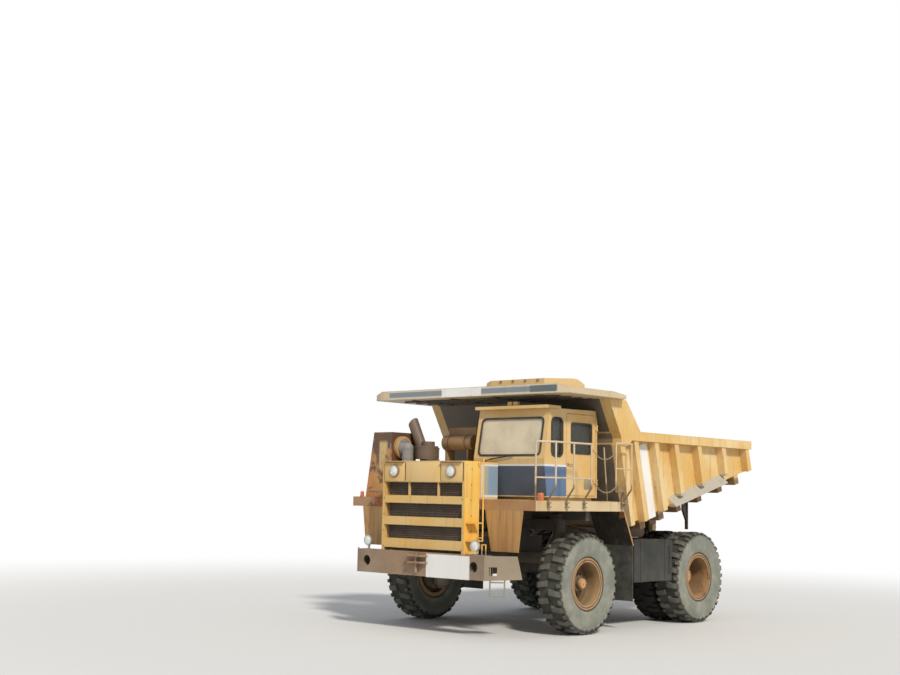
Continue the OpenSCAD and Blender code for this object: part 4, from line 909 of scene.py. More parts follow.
def makeTyre(mesh, centre):
    outline = tyreShape["outline"]
    profile = [(x, r) for x, r in reversed(outline)] + [(-x, r) for x, r in outline[1:]]
    turned(mesh, profile + [profile[0]], (0, 0, 0), (1, 0, 0), tyreShape["steps"])
    for index in range(tyreShape["lugs"]):
        for side, shift in ((1, 0.0), (-1, 0.5)):
            for kind, step in (("long", shift), ("short", shift + 0.5)):
                around = 2 * pi * (index + step) / tyreShape["lugs"]
                lugInto(mesh, side, around, *tyreShape[kind])
    bmesh.ops.translate(mesh, vec=centre, verts=mesh.verts)


for side, word in ((1, "left"), (-1, "right")):
    outer = wheels["Rear"]["x"]
    for name, node, axle, reaches in (
            ("tyreFront", "tyre_front_", wheels["Front"], (wheels["Front"]["x"],)),
            ("tyresRear", "tyres_rear_", wheels["Rear"], (outer, outer - wheels["pitch"]))):
        mesh = bmesh.new()
        for x in reaches:
            single = bmesh.new()
            makeTyre(single, spot(side * x, axle["y"], wheels["hubZ"]))
            joinInto(mesh, single)
        made = piece(name + word.capitalize(), mesh, "tyre", axle["body"] + word, smooth=38)
        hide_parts(node + word)
print("tyres made")

# wheels: nuts, lock ring and hub cap on the outer faces
wheelTrim = {
    "nut": (0.021, 0.03), "stud": (0.011, 0.05),
    "lockRing": [(0.2345, 0.45), (0.242, 0.452), (0.245, 0.462), (0.242, 0.474), (0.2345, 0.478)],
    # along from the face, and radius from the ring of nuts
    "seat": [(0.001, 0.055), (0.012, 0.05), (0.012, -0.04), (0.001, -0.045)],
    "capBolts": 8, "capBolt": (0.011, 0.014), "plug": (0.022, 0.02),
}


def wheelFittings(side, axleName, word):
    axle = wheels[axleName]
    carrier = axle["body"] + word
    name = axleName + word.capitalize()
    hub, cap = axle["hubRadius"], axle["capX"]
    centre = spot(side * axle["x"], axle["y"], wheels["hubZ"])
    out = Vector((side, 0, 0))
    face = centre + out * axle["faceX"]
    mesh = bmesh.new()
    boltsInto(mesh, face, out, axle["nutRing"], axle["nuts"], *wheelTrim["nut"])
    boltsInto(mesh, face, out, axle["nutRing"], axle["nuts"], *wheelTrim["stud"], sides=8)
    turned(mesh, wheelTrim["lockRing"], centre, out, 56)
    seat = [(axle["faceX"] + along, axle["nutRing"] + radius) for along, radius in wheelTrim["seat"]]
    turned(mesh, seat, centre, out, 40)
    piece("wheelNuts" + name, mesh, "rim", carrier, smooth=35)
    mesh = bmesh.new()
    crown = cap + 0.004
    profile = [(cap - 0.05, hub), (cap - 0.008, hub), (cap, hub - 0.012), (crown, hub * 0.55), (crown, pole)]
    turned(mesh, profile, centre, out, 36)
    boltsInto(mesh, centre + out * cap, out, hub * 0.78, wheelTrim["capBolts"], *wheelTrim["capBolt"])
    radius, high = wheelTrim["plug"]
    rodInto(mesh, centre + out * cap, centre + out * (cap + high), radius, 6)
    piece("hubCap" + name, mesh, "hub", carrier, smooth=35)


for side, word in ((1, "left"), (-1, "right")):
    for axleName in ("Front", "Rear"):
        wheelFittings(side, axleName, word)
print("wheels fitted")

# grille: woven wire behind the bars of the radiator shell
grille = {"low": 1.48, "high": 2.74, "halfWidth": 0.976, "y": -2.155, "across": 52, "up": 30, "wire": 0.006}
mesh = bmesh.new()
bmesh.ops.create_grid(mesh, x_segments=grille["across"], y_segments=grille["up"], size=0.5)
bmesh.ops.scale(mesh, vec=(grille["halfWidth"] * 2, grille["high"] - grille["low"], 1), verts=mesh.verts)
bmesh.ops.rotate(mesh, matrix=Matrix.Rotation(radians(90), 3, "X"), verts=mesh.verts)
middle = spot(0, grille["y"], (grille["low"] + grille["high"]) / 2)
bmesh.ops.translate(mesh, vec=middle, verts=mesh.verts)
bmesh.ops.wireframe(mesh, faces=mesh.faces, thickness=grille["wire"], use_boundary=True,
                    use_even_offset=True, use_replace=True)
piece("grilleWire", mesh, "core", "chassis")

# lamps: rings, lenses and buckets of head and bumper lamps, and the marker lamps on the decks
lampSet = {
    # place, radius and depth
    "head": ((0.72, -2.2, 2.96), 0.105, 0.078), "bumper": ((1.355, -2.232, 1.635), 0.1, 0.068),
    # foot of a bumper lamp
    "foot": (1.355, -2.232, 1.47), "footLow": (-0.016, -0.05, 0.001), "footHigh": (0.016, -0.012, 0.09),
    "leftMarker": (2.235, -1.55, 2.4583), "rightMarker": (-2.126, -1.729, 2.4583),
    "leftProfile": [(0.0, 0.07), (0.03, 0.07), (0.032, 0.062), (0.12, 0.06), (0.138, 0.05), (0.145, pole)],
    "rightProfile": [(0.0, 0.045), (0.02, 0.045), (0.022, 0.038), (0.09, 0.037), (0.105, 0.03), (0.11, pole)],
}


def lampInto(ringMesh, lensMesh, centre, radius, depth):
    ahead = Vector((0, -1, 0))
    rim = depth + 0.012
    turned(ringMesh, [(-0.004, pole), (0.0, radius * 0.6), (depth * 0.45, radius * 0.98), (depth, radius),
                      (rim, radius - 0.004), (rim, radius - 0.016), (depth + 0.002, radius - 0.02)],
           centre, ahead, 36)
    turned(lensMesh, [(depth + 0.002, radius - 0.016), (rim, radius * 0.7), (depth + 0.018, radius * 0.35),
                      (depth + 0.019, pole)], centre, ahead, 36)


rings, lenses = bmesh.new(), bmesh.new()
for side in (1, -1):
    for (x, y, z), radius, depth in (lampSet["head"], lampSet["bumper"]):
        lampInto(rings, lenses, spot(side * x, y, z), radius, depth)
    x, y, z = lampSet["foot"]
    foot = spot(side * x, y, z)
    boxInto(rings, foot + Vector(lampSet["footLow"]), foot + Vector(lampSet["footHigh"]), 0.004)
made = piece("lampRings", rings, "chrome", "chassis", smooth=40)
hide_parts("lamps")
piece("lampLenses", lenses, "lens", "chassis", smooth=60)
mesh = bmesh.new()
for word in ("left", "right"):
    turned(mesh, [(0.0, pole), *lampSet[word + "Profile"]], spot(*lampSet[word + "Marker"]), (0, 0, 1), 24)
piece("markerLamps", mesh, "amber", "chassis", smooth=50)

# shell front: raised lamp panels and their hoods, and dark cups behind the bumper's round holes, painted
# shade inside the holes
shellTrim = {
    # reach across, along and up
    "panel": ((0.46, 0.99), (-2.256, -2.2403), (2.765, 3.12)),
    "cheek": ((1.0402, 1.047), (-2.2, -2.16), (2.5, 3.1)),
    "hood": ((0.47, 0.98), (-2.3, -2.21), (3.121, 3.137)),
    # low and high corner
    "middlePanel": ((-0.44, -2.249, 2.755), (0.44, -2.2403, 3.13)),
    "collarY": -2.2563, "collar": [(0.0, 0.106), (0.0, 0.124), (0.02, 0.124), (0.024, 0.106)],
    "cup": (1.36, -2.29, 1.255), "cupProfile": [(-0.03, 0.102), (0.12, 0.102), (0.125, pole)],
}
mesh = bmesh.new()
for side in (1, -1):
    sideBoxInto(mesh, side, *shellTrim["panel"], 0.008)
    sideBoxInto(mesh, side, *shellTrim["cheek"], 0.003)
boxInto(mesh, spot(*shellTrim["middlePanel"][0]), spot(*shellTrim["middlePanel"][1]), 0.006)
piece("lampPanels", mesh, "yellow", "chassis", smooth=35)
hoods, cups = bmesh.new(), bmesh.new()
for side in (1, -1):
    sideBoxInto(hoods, side, *shellTrim["hood"], 0.004)
    head = lampSet["head"][0]
    turned(hoods, shellTrim["collar"], spot(side * head[0], shellTrim["collarY"], head[2]), (0, -1, 0), 36)
    # a dark cup behind each hole: painted shade
    x, y, z = shellTrim["cup"]
    turned(cups, shellTrim["cupProfile"], spot(side * x, y, z), (0, 1, 0), 28)
piece("lampHoods", hoods, "bumper", "chassis", smooth=35)
piece("holeShadeCups", cups, "core", "chassis", smooth=35)
print("lamps and grille made")

# blank plates on the bumper, the canopy and the body's sides
plates = {
    "bumper": ((0.21, -2.335, 1.03), (1.26, -2.323, 1.45)),
    "canopy": ((-0.58, -1.1337, 4.425), (0.44, -1.1255, 4.592)),
    "badge": ((1.63, -1.1337, 4.452), (2.25, -1.1255, 4.572)), "edge": 0.002,
    "stripTop": (2.1262, 1.86, 3.6), "stripLow": (-0.0015, -0.16, -1.5), "stripHigh": (0.0015, 0.16, 0.0),
    "stripLean": 13.4, "stripEdge": 0.0008,
}
mesh = bmesh.new()
boxInto(mesh, spot(*plates["bumper"][0]), spot(*plates["bumper"][1]), plates["edge"])
piece("blankPlate", mesh, "plate", "chassis")
mesh = bmesh.new()
boxInto(mesh, spot(*plates["canopy"][0]), spot(*plates["canopy"][1]), plates["edge"])
for side in (1, -1):
    x, y, z = plates["stripTop"]
    turn = Matrix.Translation(spot(side * x, y, z)) @ Matrix.Rotation(radians(plates["stripLean"]), 4, "X")
    boxInto(mesh, plates["stripLow"], plates["stripHigh"], plates["stripEdge"], turn)
piece("blankPanels", mesh, "plate", "dump_body")
mesh = bmesh.new()
boxInto(mesh, spot(*plates["badge"][0]), spot(*plates["badge"][1]), plates["edge"])
piece("blankBadge", mesh, "badge", "dump_body")

# window rubbers: a ring with rounded corners round each pane
cabWindows = {
    "thick": 0.012,
    # middle, width, height, right and up, then width of the rubber, its reach past the pane and its corner
    "screen": ((1.08, -0.9965, 3.6375), 1.48, 0.706, (1, 0, 0), (0, 0.178, 0.984), 0.036, 0.02, 0.07),
    "quarter": ((1.9305, -0.68, 3.6375), 0.32, 0.695, (0, 1, 0), (0, 0, 1), 0.04, 0.025, 0.08),
    "right": ((0.2295, -0.175, 3.6375), 1.05, 0.575, (0, -1, 0), (0, 0, 1), 0.036, 0.02, 0.06),
    "rear": ((1.08, 0.6005, 3.6325), 1.2, 0.485, (-1, 0, 0), (0, 0, 1), 0.036, 0.02, 0.06),
    "door": ((1.9305, 0.085, 3.6375), 0.65, 0.575, (0, 1, 0), (0, 0, 1), 0.03, 0.012, 0.03),
}


def rubberInto(mesh, window):
    middle, width, height, right, up, lip, beyond, corner = window
    right, up = Vector(right), Vector(up).normalized()
    part = bmesh.new()
    bmesh.ops.create_grid(part, x_segments=1, y_segments=1, size=0.5)
    bmesh.ops.scale(part, vec=(width + 2 * beyond, height + 2 * beyond, 1), verts=part.verts)
    bmesh.ops.bevel(part, geom=list(part.verts), offset=corner + lip, offset_type="OFFSET", segments=6,
                    profile=0.5, affect="VERTICES", material=-1, clamp_overlap=True)
    ring = bmesh.ops.inset_region(part, faces=list(part.faces), thickness=lip, use_boundary=True,
                                  use_even_offset=True)["faces"]
    bmesh.ops.delete(part, geom=[f for f in part.faces if f not in ring], context="FACES")
    raised = bmesh.ops.extrude_face_region(part, geom=list(part.faces))["geom"]
    front = [g for g in raised if isinstance(g, bmesh.types.BMVert)]
    bmesh.ops.translate(part, vec=(0, 0, cabWindows["thick"]), verts=front)
    turn = Matrix((right, up, right.cross(up))).transposed().to_4x4()
    bmesh.ops.transform(part, matrix=Matrix.Translation(spot(*middle)) @ turn, verts=part.verts)
    joinInto(mesh, part)


for name, carrier, panes in (("windowRubbers", "chassis", ("screen", "quarter", "right", "rear")),
                             ("doorRubber", "cab_door", ("door",))):
    mesh = bmesh.new()
    for pane in panes:
        rubberInto(mesh, cabWindows[pane])
    piece(name, mesh, "seal", carrier, smooth=40)

# wiper and door handle
wiper = {
    "arm": [(0.5, -1.085, 3.165), (0.62, -1.1, 3.2), (0.86, -1.1, 3.24)], "armRadius": 0.009,
    "blade": [(0.66, -1.1, 3.215), (1.22, -1.095, 3.285)], "bladeRadius": 0.012,
    "pivot": (0.5, -1.06, 3.165), "pivotProfile": [(0.0, 0.03), (0.03, 0.028), (0.036, 0.02)],
}
mesh = bmesh.new()
tubeInto(mesh, [spot(*place) for place in wiper["arm"]], wiper["armRadius"])
tubeInto(mesh, [spot(*place) for place in wiper["blade"]], wiper["bladeRadius"])
knobInto(mesh, wiper["pivotProfile"], spot(*wiper["pivot"]), (0, -1, 0))
piece("wiper", mesh, "seal", "chassis", smooth=40)
handle = {
    "x": 1.93, "out": 1.972, "y": (-0.335, -0.215), "z": 3.14, "radius": 0.01,
    "rose": [(0.0, 0.034), (0.006, 0.033), (0.008, 0.024)],
    "kickPlate": ((1.9302, 0.18, 2.68), (1.936, 0.4, 2.9)),
}
mesh = bmesh.new()
front, back = handle["y"]
grip = ((handle["x"], front), (handle["out"], front), (handle["out"], back), (handle["x"], back))
tubeInto(mesh, [spot(x, y, handle["z"]) for x, y in grip], handle["radius"])
knobInto(mesh, handle["rose"], spot(handle["x"], front, handle["z"]), (1, 0, 0))
boxInto(mesh, spot(*handle["kickPlate"][0]), spot(*handle["kickPlate"][1]), 0.003)
piece("doorHandle", mesh, "grimy", "cab_door", smooth=40)
print("rubbers, wiper and handle made")

# cab interior: dash, levers, steering wheel and a padded seat
cabin = {
    "seat": (1.15, 0.02, 3.0), "fill": 0.6, "cushion": (0.25, 0.24, 0.06), "back": (0.24, 0.3, 0.055),
    "crown": 0.02, "backAt": (0, 0.27, 0.36), "backLean": 80,
    # low corner, high corner and rounding, from the seat
    "stand": (((-0.2, -0.2, -0.42), (0.2, 0.2, -0.36), 0.01),
              ((-0.17, -0.16, -0.36), (0.17, 0.16, -0.07), 0.02)),
    "arm": ((0.26, 0.2, -0.03), (0.28, 0.2, 0.2), (0.28, -0.12, 0.22)), "armRadius": 0.018,
    # the same for dashboard, dials and console
    "boxes": (((0.32, -0.92, 2.572), (1.82, -0.74, 3.1), 0.03),
              ((0.9, -0.75, 3.02), (1.4, -0.66, 3.16), 0.02),
              ((0.3, -0.74, 2.572), (0.62, 0.5, 2.9), 0.02)),
    "columnFoot": (1.15, -0.78, 2.7), "columnRadius": 0.03, "levers": ((0.52, 0.34), (0.6, 0.28)),
    "leverFoot": (-0.3, 2.9), "leverRadius": 0.009, "leverLean": (0.02, -0.04),
    "knob": [(-0.018, 0.022), (0.0, 0.028), (0.018, 0.022), (0.025, pole)], "knobLow": -0.025,
    "pedals": (0.98, 1.16, 1.32), "pedal": ((-0.04, -0.72, 2.62), (0.04, -0.69, 2.78)),
    "wheel": (1.15, -0.56, 3.21), "wheelRadius": 0.23, "wheelAxis": (0, 0.42, 0.9), "wheelSteps": 40,
    "rimRadius": 0.015, "spokes": (0, 13, 27), "spokeRadius": 0.009,
    "boss": [(-0.02, 0.05), (0.012, 0.045), (0.018, pole)], "bossLow": -0.03,
}


def cushionInto(mesh, half, crown, turn):
    # a crowned closed form whose sides pull in between its corners, with sewn channels across
    part = bmesh.new()
    bmesh.ops.create_cube(part, size=2.0)
    bmesh.ops.subdivide_edges(part, edges=list(part.edges), cuts=9, use_grid_fill=True)
    for vert in part.verts:
        u, v, w = vert.co
        bulge = (1 - u * u) * (1 - v * v)
        pull = 1 - 0.06 * (1 - w * w)
        channel = 0.008 * max(0.0, cos(v * 3 * pi)) ** 6 * (1 - u ** 4)
        x = u * half[0] * (pull - 0.03 * v * v)
        y = v * half[1] * (pull - 0.03 * u * u)
        z = w * half[2] * (0.62 + 0.38 * bulge ** 0.35)
        if w > 0.9:
            z += crown * bulge - channel
        vert.co = (x, y, z)
    for step in range(2):
        bmesh.ops.smooth_vert(part, verts=part.verts, factor=0.5, use_axis_x=True, use_axis_y=True,
                              use_axis_z=True)
    bmesh.ops.transform(part, matrix=turn, verts=part.verts)
    joinInto(mesh, part)


seat = spot(*cabin["seat"])
flat = Matrix.Translation(seat)
lean = Matrix.Rotation(radians(cabin["backLean"]), 4, "X")
lean = Matrix.Translation(seat + Vector(cabin["backAt"])) @ lean
for name, half, turn in (("seatCushion", cabin["cushion"], flat), ("seatBack", cabin["back"], lean)):
    mesh = bmesh.new()
    cushionInto(mesh, half, cabin["crown"], turn)
    made = piece(name, mesh, "cushion", "chassis", smooth=60)
mesh = bmesh.new()
for low, high, edge in cabin["stand"]:
    boxInto(mesh, seat + Vector(low), seat + Vector(high), edge)
for side in (1, -1):
    tubeInto(mesh, [seat + Vector((side * x, y, z)) for x, y, z in cabin["arm"]], cabin["armRadius"])
for low, high, edge in cabin["boxes"]:
    boxInto(mesh, spot(*low), spot(*high), edge)
tubeInto(mesh, [spot(*cabin["columnFoot"]), spot(*cabin["wheel"])], cabin["columnRadius"])
for x, tall in cabin["levers"]:
    foot = spot(x, *cabin["leverFoot"])
    top = foot + Vector((*cabin["leverLean"], tall))
    tubeInto(mesh, [foot, top], cabin["leverRadius"])
    turned(mesh, [(cabin["knobLow"], pole), *cabin["knob"]], top, (0, 0, 1), 14)
for x in cabin["pedals"]:
    low, high = cabin["pedal"]
    boxInto(mesh, spot(x + low[0], *low[1:]), spot(x + high[0], *high[1:]), 0.006)
made = piece("cabFittings", mesh, "inside", "chassis", smooth=40)
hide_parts("cab_interior")
mesh = bmesh.new()
hub = spot(*cabin["wheel"])
tilt = Vector(cabin["wheelAxis"]).normalized()
arm = tilt.orthogonal().normalized() * cabin["wheelRadius"]
steps = cabin["wheelSteps"]
around = [hub + Matrix.Rotation(2 * pi * step / steps, 3, tilt) @ arm for step in range(steps)]
tubeInto(mesh, around, cabin["rimRadius"], closed=True)
for step in cabin["spokes"]:
    tubeInto(mesh, [hub, around[step]], cabin["spokeRadius"])
turned(mesh, [(cabin["bossLow"], pole), *cabin["boss"]], hub, tilt, 20)
piece("steeringWheel", mesh, "seal", "chassis", smooth=50)
print("cab fitted out")

# deck: clamps at the feet of the rail posts, tread bars and the leaning rod
deckTrim = {
    "leftPosts": (-1.44, -0.9, -0.36, 0.86, 0.95), "rightPosts": (-0.6, 0.1, 0.9), "clampX": (2.315, 2.375),
    "clampHalf": (0.034, 0.014), "clampZ": (2.345, 2.425), "boltX": (2.317, 2.34), "boltZ": 2.385,
    "boltRadius": 0.028, "treadZ": (2.4583, 2.466), "treadEdge": 0.003,
    # count, first place, pitch and width, then side and reach across
    "treads": ((11, -1.66, 0.052, 0.014, 1, (1.24, 2.14)), (16, -0.98, 0.115, 0.016, 1, (1.99, 2.27)),
               (16, -0.98, 0.115, 0.016, -1, (1.1, 2.27))),
    "rod": ((2.09, 0.72, 2.47), (2.09, 0.6, 3.49)), "rodRadius": 0.013,
    "rodFoot": ((2.05, 0.68, 2.4585), (2.13, 0.76, 2.472)),
}
mesh = bmesh.new()
for side, row in ((1, deckTrim["leftPosts"]), (-1, deckTrim["rightPosts"])):
    halfY, halfZ = deckTrim["clampHalf"]
    for y in row:
        for z in deckTrim["clampZ"]:
            sideBoxInto(mesh, side, deckTrim["clampX"], (y - halfY, y + halfY), (z - halfZ, z + halfZ), 0.004)
        ends = [spot(side * x, y, deckTrim["boltZ"]) for x in deckTrim["boltX"]]
        rodInto(mesh, *ends, deckTrim["boltRadius"], 6)
piece("postClamps", mesh, "bumper", "chassis", smooth=35)
mesh = bmesh.new()
for count, first, pitch, wide, side, across in deckTrim["treads"]:
    for step in range(count):
        y = first + pitch * step
        sideBoxInto(mesh, side, across, (y, y + wide), deckTrim["treadZ"], deckTrim["treadEdge"])
piece("deckTreads", mesh, "deck", "chassis", smooth=35)
mesh = bmesh.new()
tubeInto(mesh, [spot(*place) for place in deckTrim["rod"]], deckTrim["rodRadius"])
boxInto(mesh, spot(*deckTrim["rodFoot"][0]), spot(*deckTrim["rodFoot"][1]), 0.004)
piece("leaningRod", mesh, "rail", "chassis", smooth=40)

# chains across the gap in the rails, slack
chain = {
    "x": 2.49, "from": -0.341, "to": 0.431, "sag": 0.17, "thick": 0.022, "pitch": 0.045, "wire": 0.0045,
    "reach": 0.031, "wide": 0.011, "steps": 10,
    "chainUpper": (3.42, 3.4), "chainLower": (2.86, 2.74),  # heights of the ends
}


def chainInto(mesh, start, end):
    # links of bent wire, every second one turned
    count = int((end - start).length / chain["pitch"])
    places = []
    for step in range(count + 1):
        t = step / count
        places.append(start.lerp(end, t) - Vector((0, 0, chain["sag"] * 4 * t * (1 - t))))
    sideways = Vector((1, 0, 0))
    angles = [2 * pi * step / chain["steps"] for step in range(chain["steps"])]
    for index, (a, b) in enumerate(zip(places, places[1:])):
        line = (b - a).normalized()
        aside = sideways if index % 2 else line.cross(sideways).normalized()
        reach, wide = line * chain["reach"], aside * chain["wide"]
        loop = [(a + b) / 2 + reach * cos(angle) + wide * sin(angle) for angle in angles]
        tubeInto(mesh, loop, chain["wire"], closed=True, sides=1)
    return places


for name in ("chainUpper", "chainLower"):
    mesh = bmesh.new()
    first, last = chain[name]
    start, end = spot(chain["x"], chain["from"], first), spot(chain["x"], chain["to"], last)
    places = chainInto(mesh, start, end)
    made = piece(name, mesh, "grimy", "chassis", smooth=50)
    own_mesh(made)
print("deck trimmed")

# canopy: stiffeners below it, and studs along the raised box
canopyTrim = {
    "crossY": (-0.7, -0.36, -0.02, 0.32), "cross": (2.0, 0.04), "crossZ": (4.385, 4.4197),
    "longX": (-1.6, -0.55, 0.55, 1.6), "long": (0.03, -0.9, 0.42), "longZ": (4.39, 4.4195),
    "studs": 4, "firstStud": (-0.42, 0.4999, 4.855), "studPitch": 0.32,
    "stud": [(0.0, 0.03), (0.012, 0.03), (0.02, 0.022)],
    "seam": ((-0.69, 0.4885, 4.62), (0.69, 0.4995, 4.64)),
}
mesh = bmesh.new()
half, wide = canopyTrim["cross"]
low, high = canopyTrim["crossZ"]
for y in canopyTrim["crossY"]:
    boxInto(mesh, spot(-half, y, low), spot(half, y + wide, high), 0.004)
half, front, back = canopyTrim["long"]
low, high = canopyTrim["longZ"]
for x in canopyTrim["longX"]:
    boxInto(mesh, spot(x - half, front, low), spot(x + half, back, high), 0.004)
piece("canopyStiffeners", mesh, "frame", "dump_body", smooth=35)
mesh = bmesh.new()
x, y, z = canopyTrim["firstStud"]
for step in range(canopyTrim["studs"]):
    knobInto(mesh, canopyTrim["stud"], spot(x + canopyTrim["studPitch"] * step, y, z), (0, -1, 0), 16)
boxInto(mesh, spot(*canopyTrim["seam"][0]), spot(*canopyTrim["seam"][1]), 0.003)
piece("boxStuds", mesh, "bumper", "dump_body", smooth=40)

# body: weld beads along the ribs' feet and plate joints, and pivot caps
mesh = bmesh.new()
for side in (1, -1):
    x = side * body["weldX"]
    for y in body["ribs"]:
        rise = body["rimZ"] - (body["footZ"] + (y - body["footY"]) * slope)
        back = rise * slope * cos(radians(body["slope"])) ** 2
        for shift in (-body["weldShift"], body["weldShift"]):
            top = spot(x, y + shift, body["rimZ"] - 0.01)
            foot = spot(x, y + shift + back * body["weldPart"], body["rimZ"] - rise * body["weldPart"])
            tubeInto(mesh, [top, (top + foot) / 2, foot], 0.006, sides=1)
    tubeInto(mesh, [spot(x, y, body["rimZ"] - 0.002) for y in body["rimWeld"]], 0.007, sides=1)
    across, y, z = body["pivot"]
    knobInto(mesh, [(0.0, 0.075), (0.012, 0.075), (0.02, 0.06)], spot(side * across, y, z), (side, 0, 0), 24)
piece("bodyWelds", mesh, "yellow", "dump_body", smooth=50)
print("body trimmed")

# engine: covers, manifolds, filters, and fan with belts
engineTrim = {
    "cylinders": 6, "firstY": -1.36, "pitch": 0.19, "coverX": (0.401, 0.47), "coverLong": 0.15,
    "coverZ": (1.98, 2.3), "port": ((0.4, 1.88), (0.5, 1.88), (0.53, 1.8)), "portRadius": 0.028,
    "manifold": ((0.53, -1.4, 1.8), (0.53, -0.2, 1.8), (0.5, -0.08, 1.9)), "manifoldRadius": 0.045,
    "filterY": (-1.25, -1.1), "filterAt": (0.47, 1.42),
    "filter": [(0.0, 0.05), (0.2, 0.055), (0.24, 0.045)], "pan": ((0.4, 0.48), (-0.9, -0.3), (1.36, 1.5)),
    "pulleyY": -1.505, "fanZ": 2.0, "crankZ": 1.5,
    "fanHub": [(0.0, 0.09), (0.03, 0.1), (0.03, 0.14), (0.05, 0.14), (0.05, 0.1), (0.08, 0.09)],
    "crank": [(0.0, 0.12), (0.05, 0.12)], "blades": 8, "bladeY": -1.62, "bladeTwist": 28,
    "blade": ((-0.07, -0.006, 0.08), (0.07, 0.006, 0.56)), "beltX": 0.13, "beltY": -1.55, "beltRadius": 0.012,
}
mesh = bmesh.new()
for side in (1, -1):
    for step in range(engineTrim["cylinders"]):
        y = engineTrim["firstY"] + engineTrim["pitch"] * step
        along = (y, y + engineTrim["coverLong"])
        sideBoxInto(mesh, side, engineTrim["coverX"], along, engineTrim["coverZ"], 0.02)
        port = [spot(side * x, y + 0.07, z) for x, z in engineTrim["port"]]
        tubeInto(mesh, port, engineTrim["portRadius"])
    manifold = [spot(side * x, y, z) for x, y, z in engineTrim["manifold"]]
    tubeInto(mesh, manifold, engineTrim["manifoldRadius"])
    x, z = engineTrim["filterAt"]
    for y in engineTrim["filterY"]:
        knobInto(mesh, engineTrim["filter"], spot(side * x, y, z), (0, 0, 1), 18)
    sideBoxInto(mesh, side, *engineTrim["pan"], 0.02)
piece("engineFittings", mesh, "cast", "chassis", smooth=40)
mesh = bmesh.new()
for profile, z in ((engineTrim["fanHub"], engineTrim["fanZ"]), (engineTrim["crank"], engineTrim["crankZ"])):
    knobInto(mesh, profile, spot(0, engineTrim["pulleyY"], z), (0, -1, 0), 28)
twist = Matrix.Rotation(radians(engineTrim["bladeTwist"]), 4, "Z")
for step in range(engineTrim["blades"]):
    turn = Matrix.Rotation(2 * pi * step / engineTrim["blades"], 4, "Y") @ twist
    place = Matrix.Translation(spot(0, engineTrim["bladeY"], engineTrim["fanZ"]))
    boxInto(mesh, *engineTrim["blade"], 0.004, place @ turn)
for x in (-engineTrim["beltX"], engineTrim["beltX"]):
    belt = [spot(x, engineTrim["beltY"], z) for z in (engineTrim["crankZ"], engineTrim["fanZ"])]
    tubeInto(mesh, belt, engineTrim["beltRadius"])
piece("fanAndBelts", mesh, "seal", "chassis", smooth=40)

# running gear: joint crosses, bearing caps, pipes along the frame
gear = {
    "crossY": (0.35, 3.3), "crossZ": 1.07, "crossArm": 0.11, "crossRadius": 0.034,
    "clipX": (0.602, 0.632), "clipY": (0.3, 1.3, 2.3), "clipLong": 0.04, "clipZ": (1.2, 1.36),
    "pipeX": 0.618, "pipeY": (0.0, 2.9), "pipeZ": (1.24, 1.3), "pipeRadius": 0.012,
    # height, then radius of the ring, count, size and height of the bolts
    "strutX": 1.49, "strutBolts": ((2.1805, 0.09, 8, 0.014, 0.02), (1.16, 0.108, 10, 0.01, 0.019)),
    # place and direction of the rings on the axle's housing
    "housing": ((3.5695, -1), (4.1705, 1)), "housingBolts": (0.175, 12, 0.014, 0.018),
    "cover": [(0.0, 0.12), (0.015, 0.115), (0.03, 0.05)], "coverY": 4.17,
}
mesh = bmesh.new()
for y in gear["crossY"]:
    for way in ((1, 0, 0), (0, 0, 1)):
        centre, arm = spot(0, y, gear["crossZ"]), Vector(way) * gear["crossArm"]
        rodInto(mesh, centre - arm, centre + arm, gear["crossRadius"], 14)
for side in (1, -1):
    for y in gear["clipY"]:
        sideBoxInto(mesh, side, gear["clipX"], (y, y + gear["clipLong"]), gear["clipZ"], 0.004)
    for z in gear["pipeZ"]:
        tubeInto(mesh, [spot(side * gear["pipeX"], y, z) for y in gear["pipeY"]], gear["pipeRadius"])
    for z, *bolts in gear["strutBolts"]:
        boltsInto(mesh, spot(side * gear["strutX"], 0, z), (0, 0, 1), *bolts)
for y, way in gear["housing"]:
    boltsInto(mesh, spot(0, y, wheels["hubZ"]), (0, way, 0), *gear["housingBolts"])
knobInto(mesh, gear["cover"], spot(0, gear["coverY"], wheels["hubZ"]), (0, 1, 0), 28)
piece("runningGear", mesh, "frame", "chassis", smooth=40)
print("engine and running gear detailed")

# tanks: straps, filler caps, drain plugs and sight tubes
tankTrim = {
    # side, then low and high corner of each tank
    "tanks": ((1, (1.1, 1.56, 0.9), (2.15, 2.91, 1.71)), (-1, (-2.0, 1.56, 0.95), (-1.1, 2.5, 1.65))),
    "strapIn": (0.22, 0.26), "strapWide": 0.06, "strapThick": 0.006, "strapEdge": 0.0015,
    "filler": [(0.0, 0.07), (0.05, 0.07), (0.05, 0.085), (0.09, 0.085), (0.098, 0.07), (0.098, pole)],
    "fillerIn": (0.2, 0.12), "plug": [(0.0, 0.03), (0.015, 0.03), (0.02, 0.02), (0.02, pole)], "plugIn": 0.3,
    "tubeOut": 0.02, "tubeIn": 0.1, "tubeEnds": (0.12, 0.15), "tubeRadius": 0.008,
}


def strapInto(mesh, low, high, y):
    thick = tankTrim["strapThick"]
    left, right, under, over = low[0] - thick, high[0] + thick, low[2] - thick, high[2] + thick
    for x1, x2, z1, z2 in ((left, right, high[2] + tiny, over), (high[0] + tiny, right, low[2], high[2]),
                           (left, low[0] - tiny, low[2], high[2]), (left, right, under, low[2] - tiny)):
        boxInto(mesh, spot(x1, y, z1), spot(x2, y + tankTrim["strapWide"], z2), tankTrim["strapEdge"])


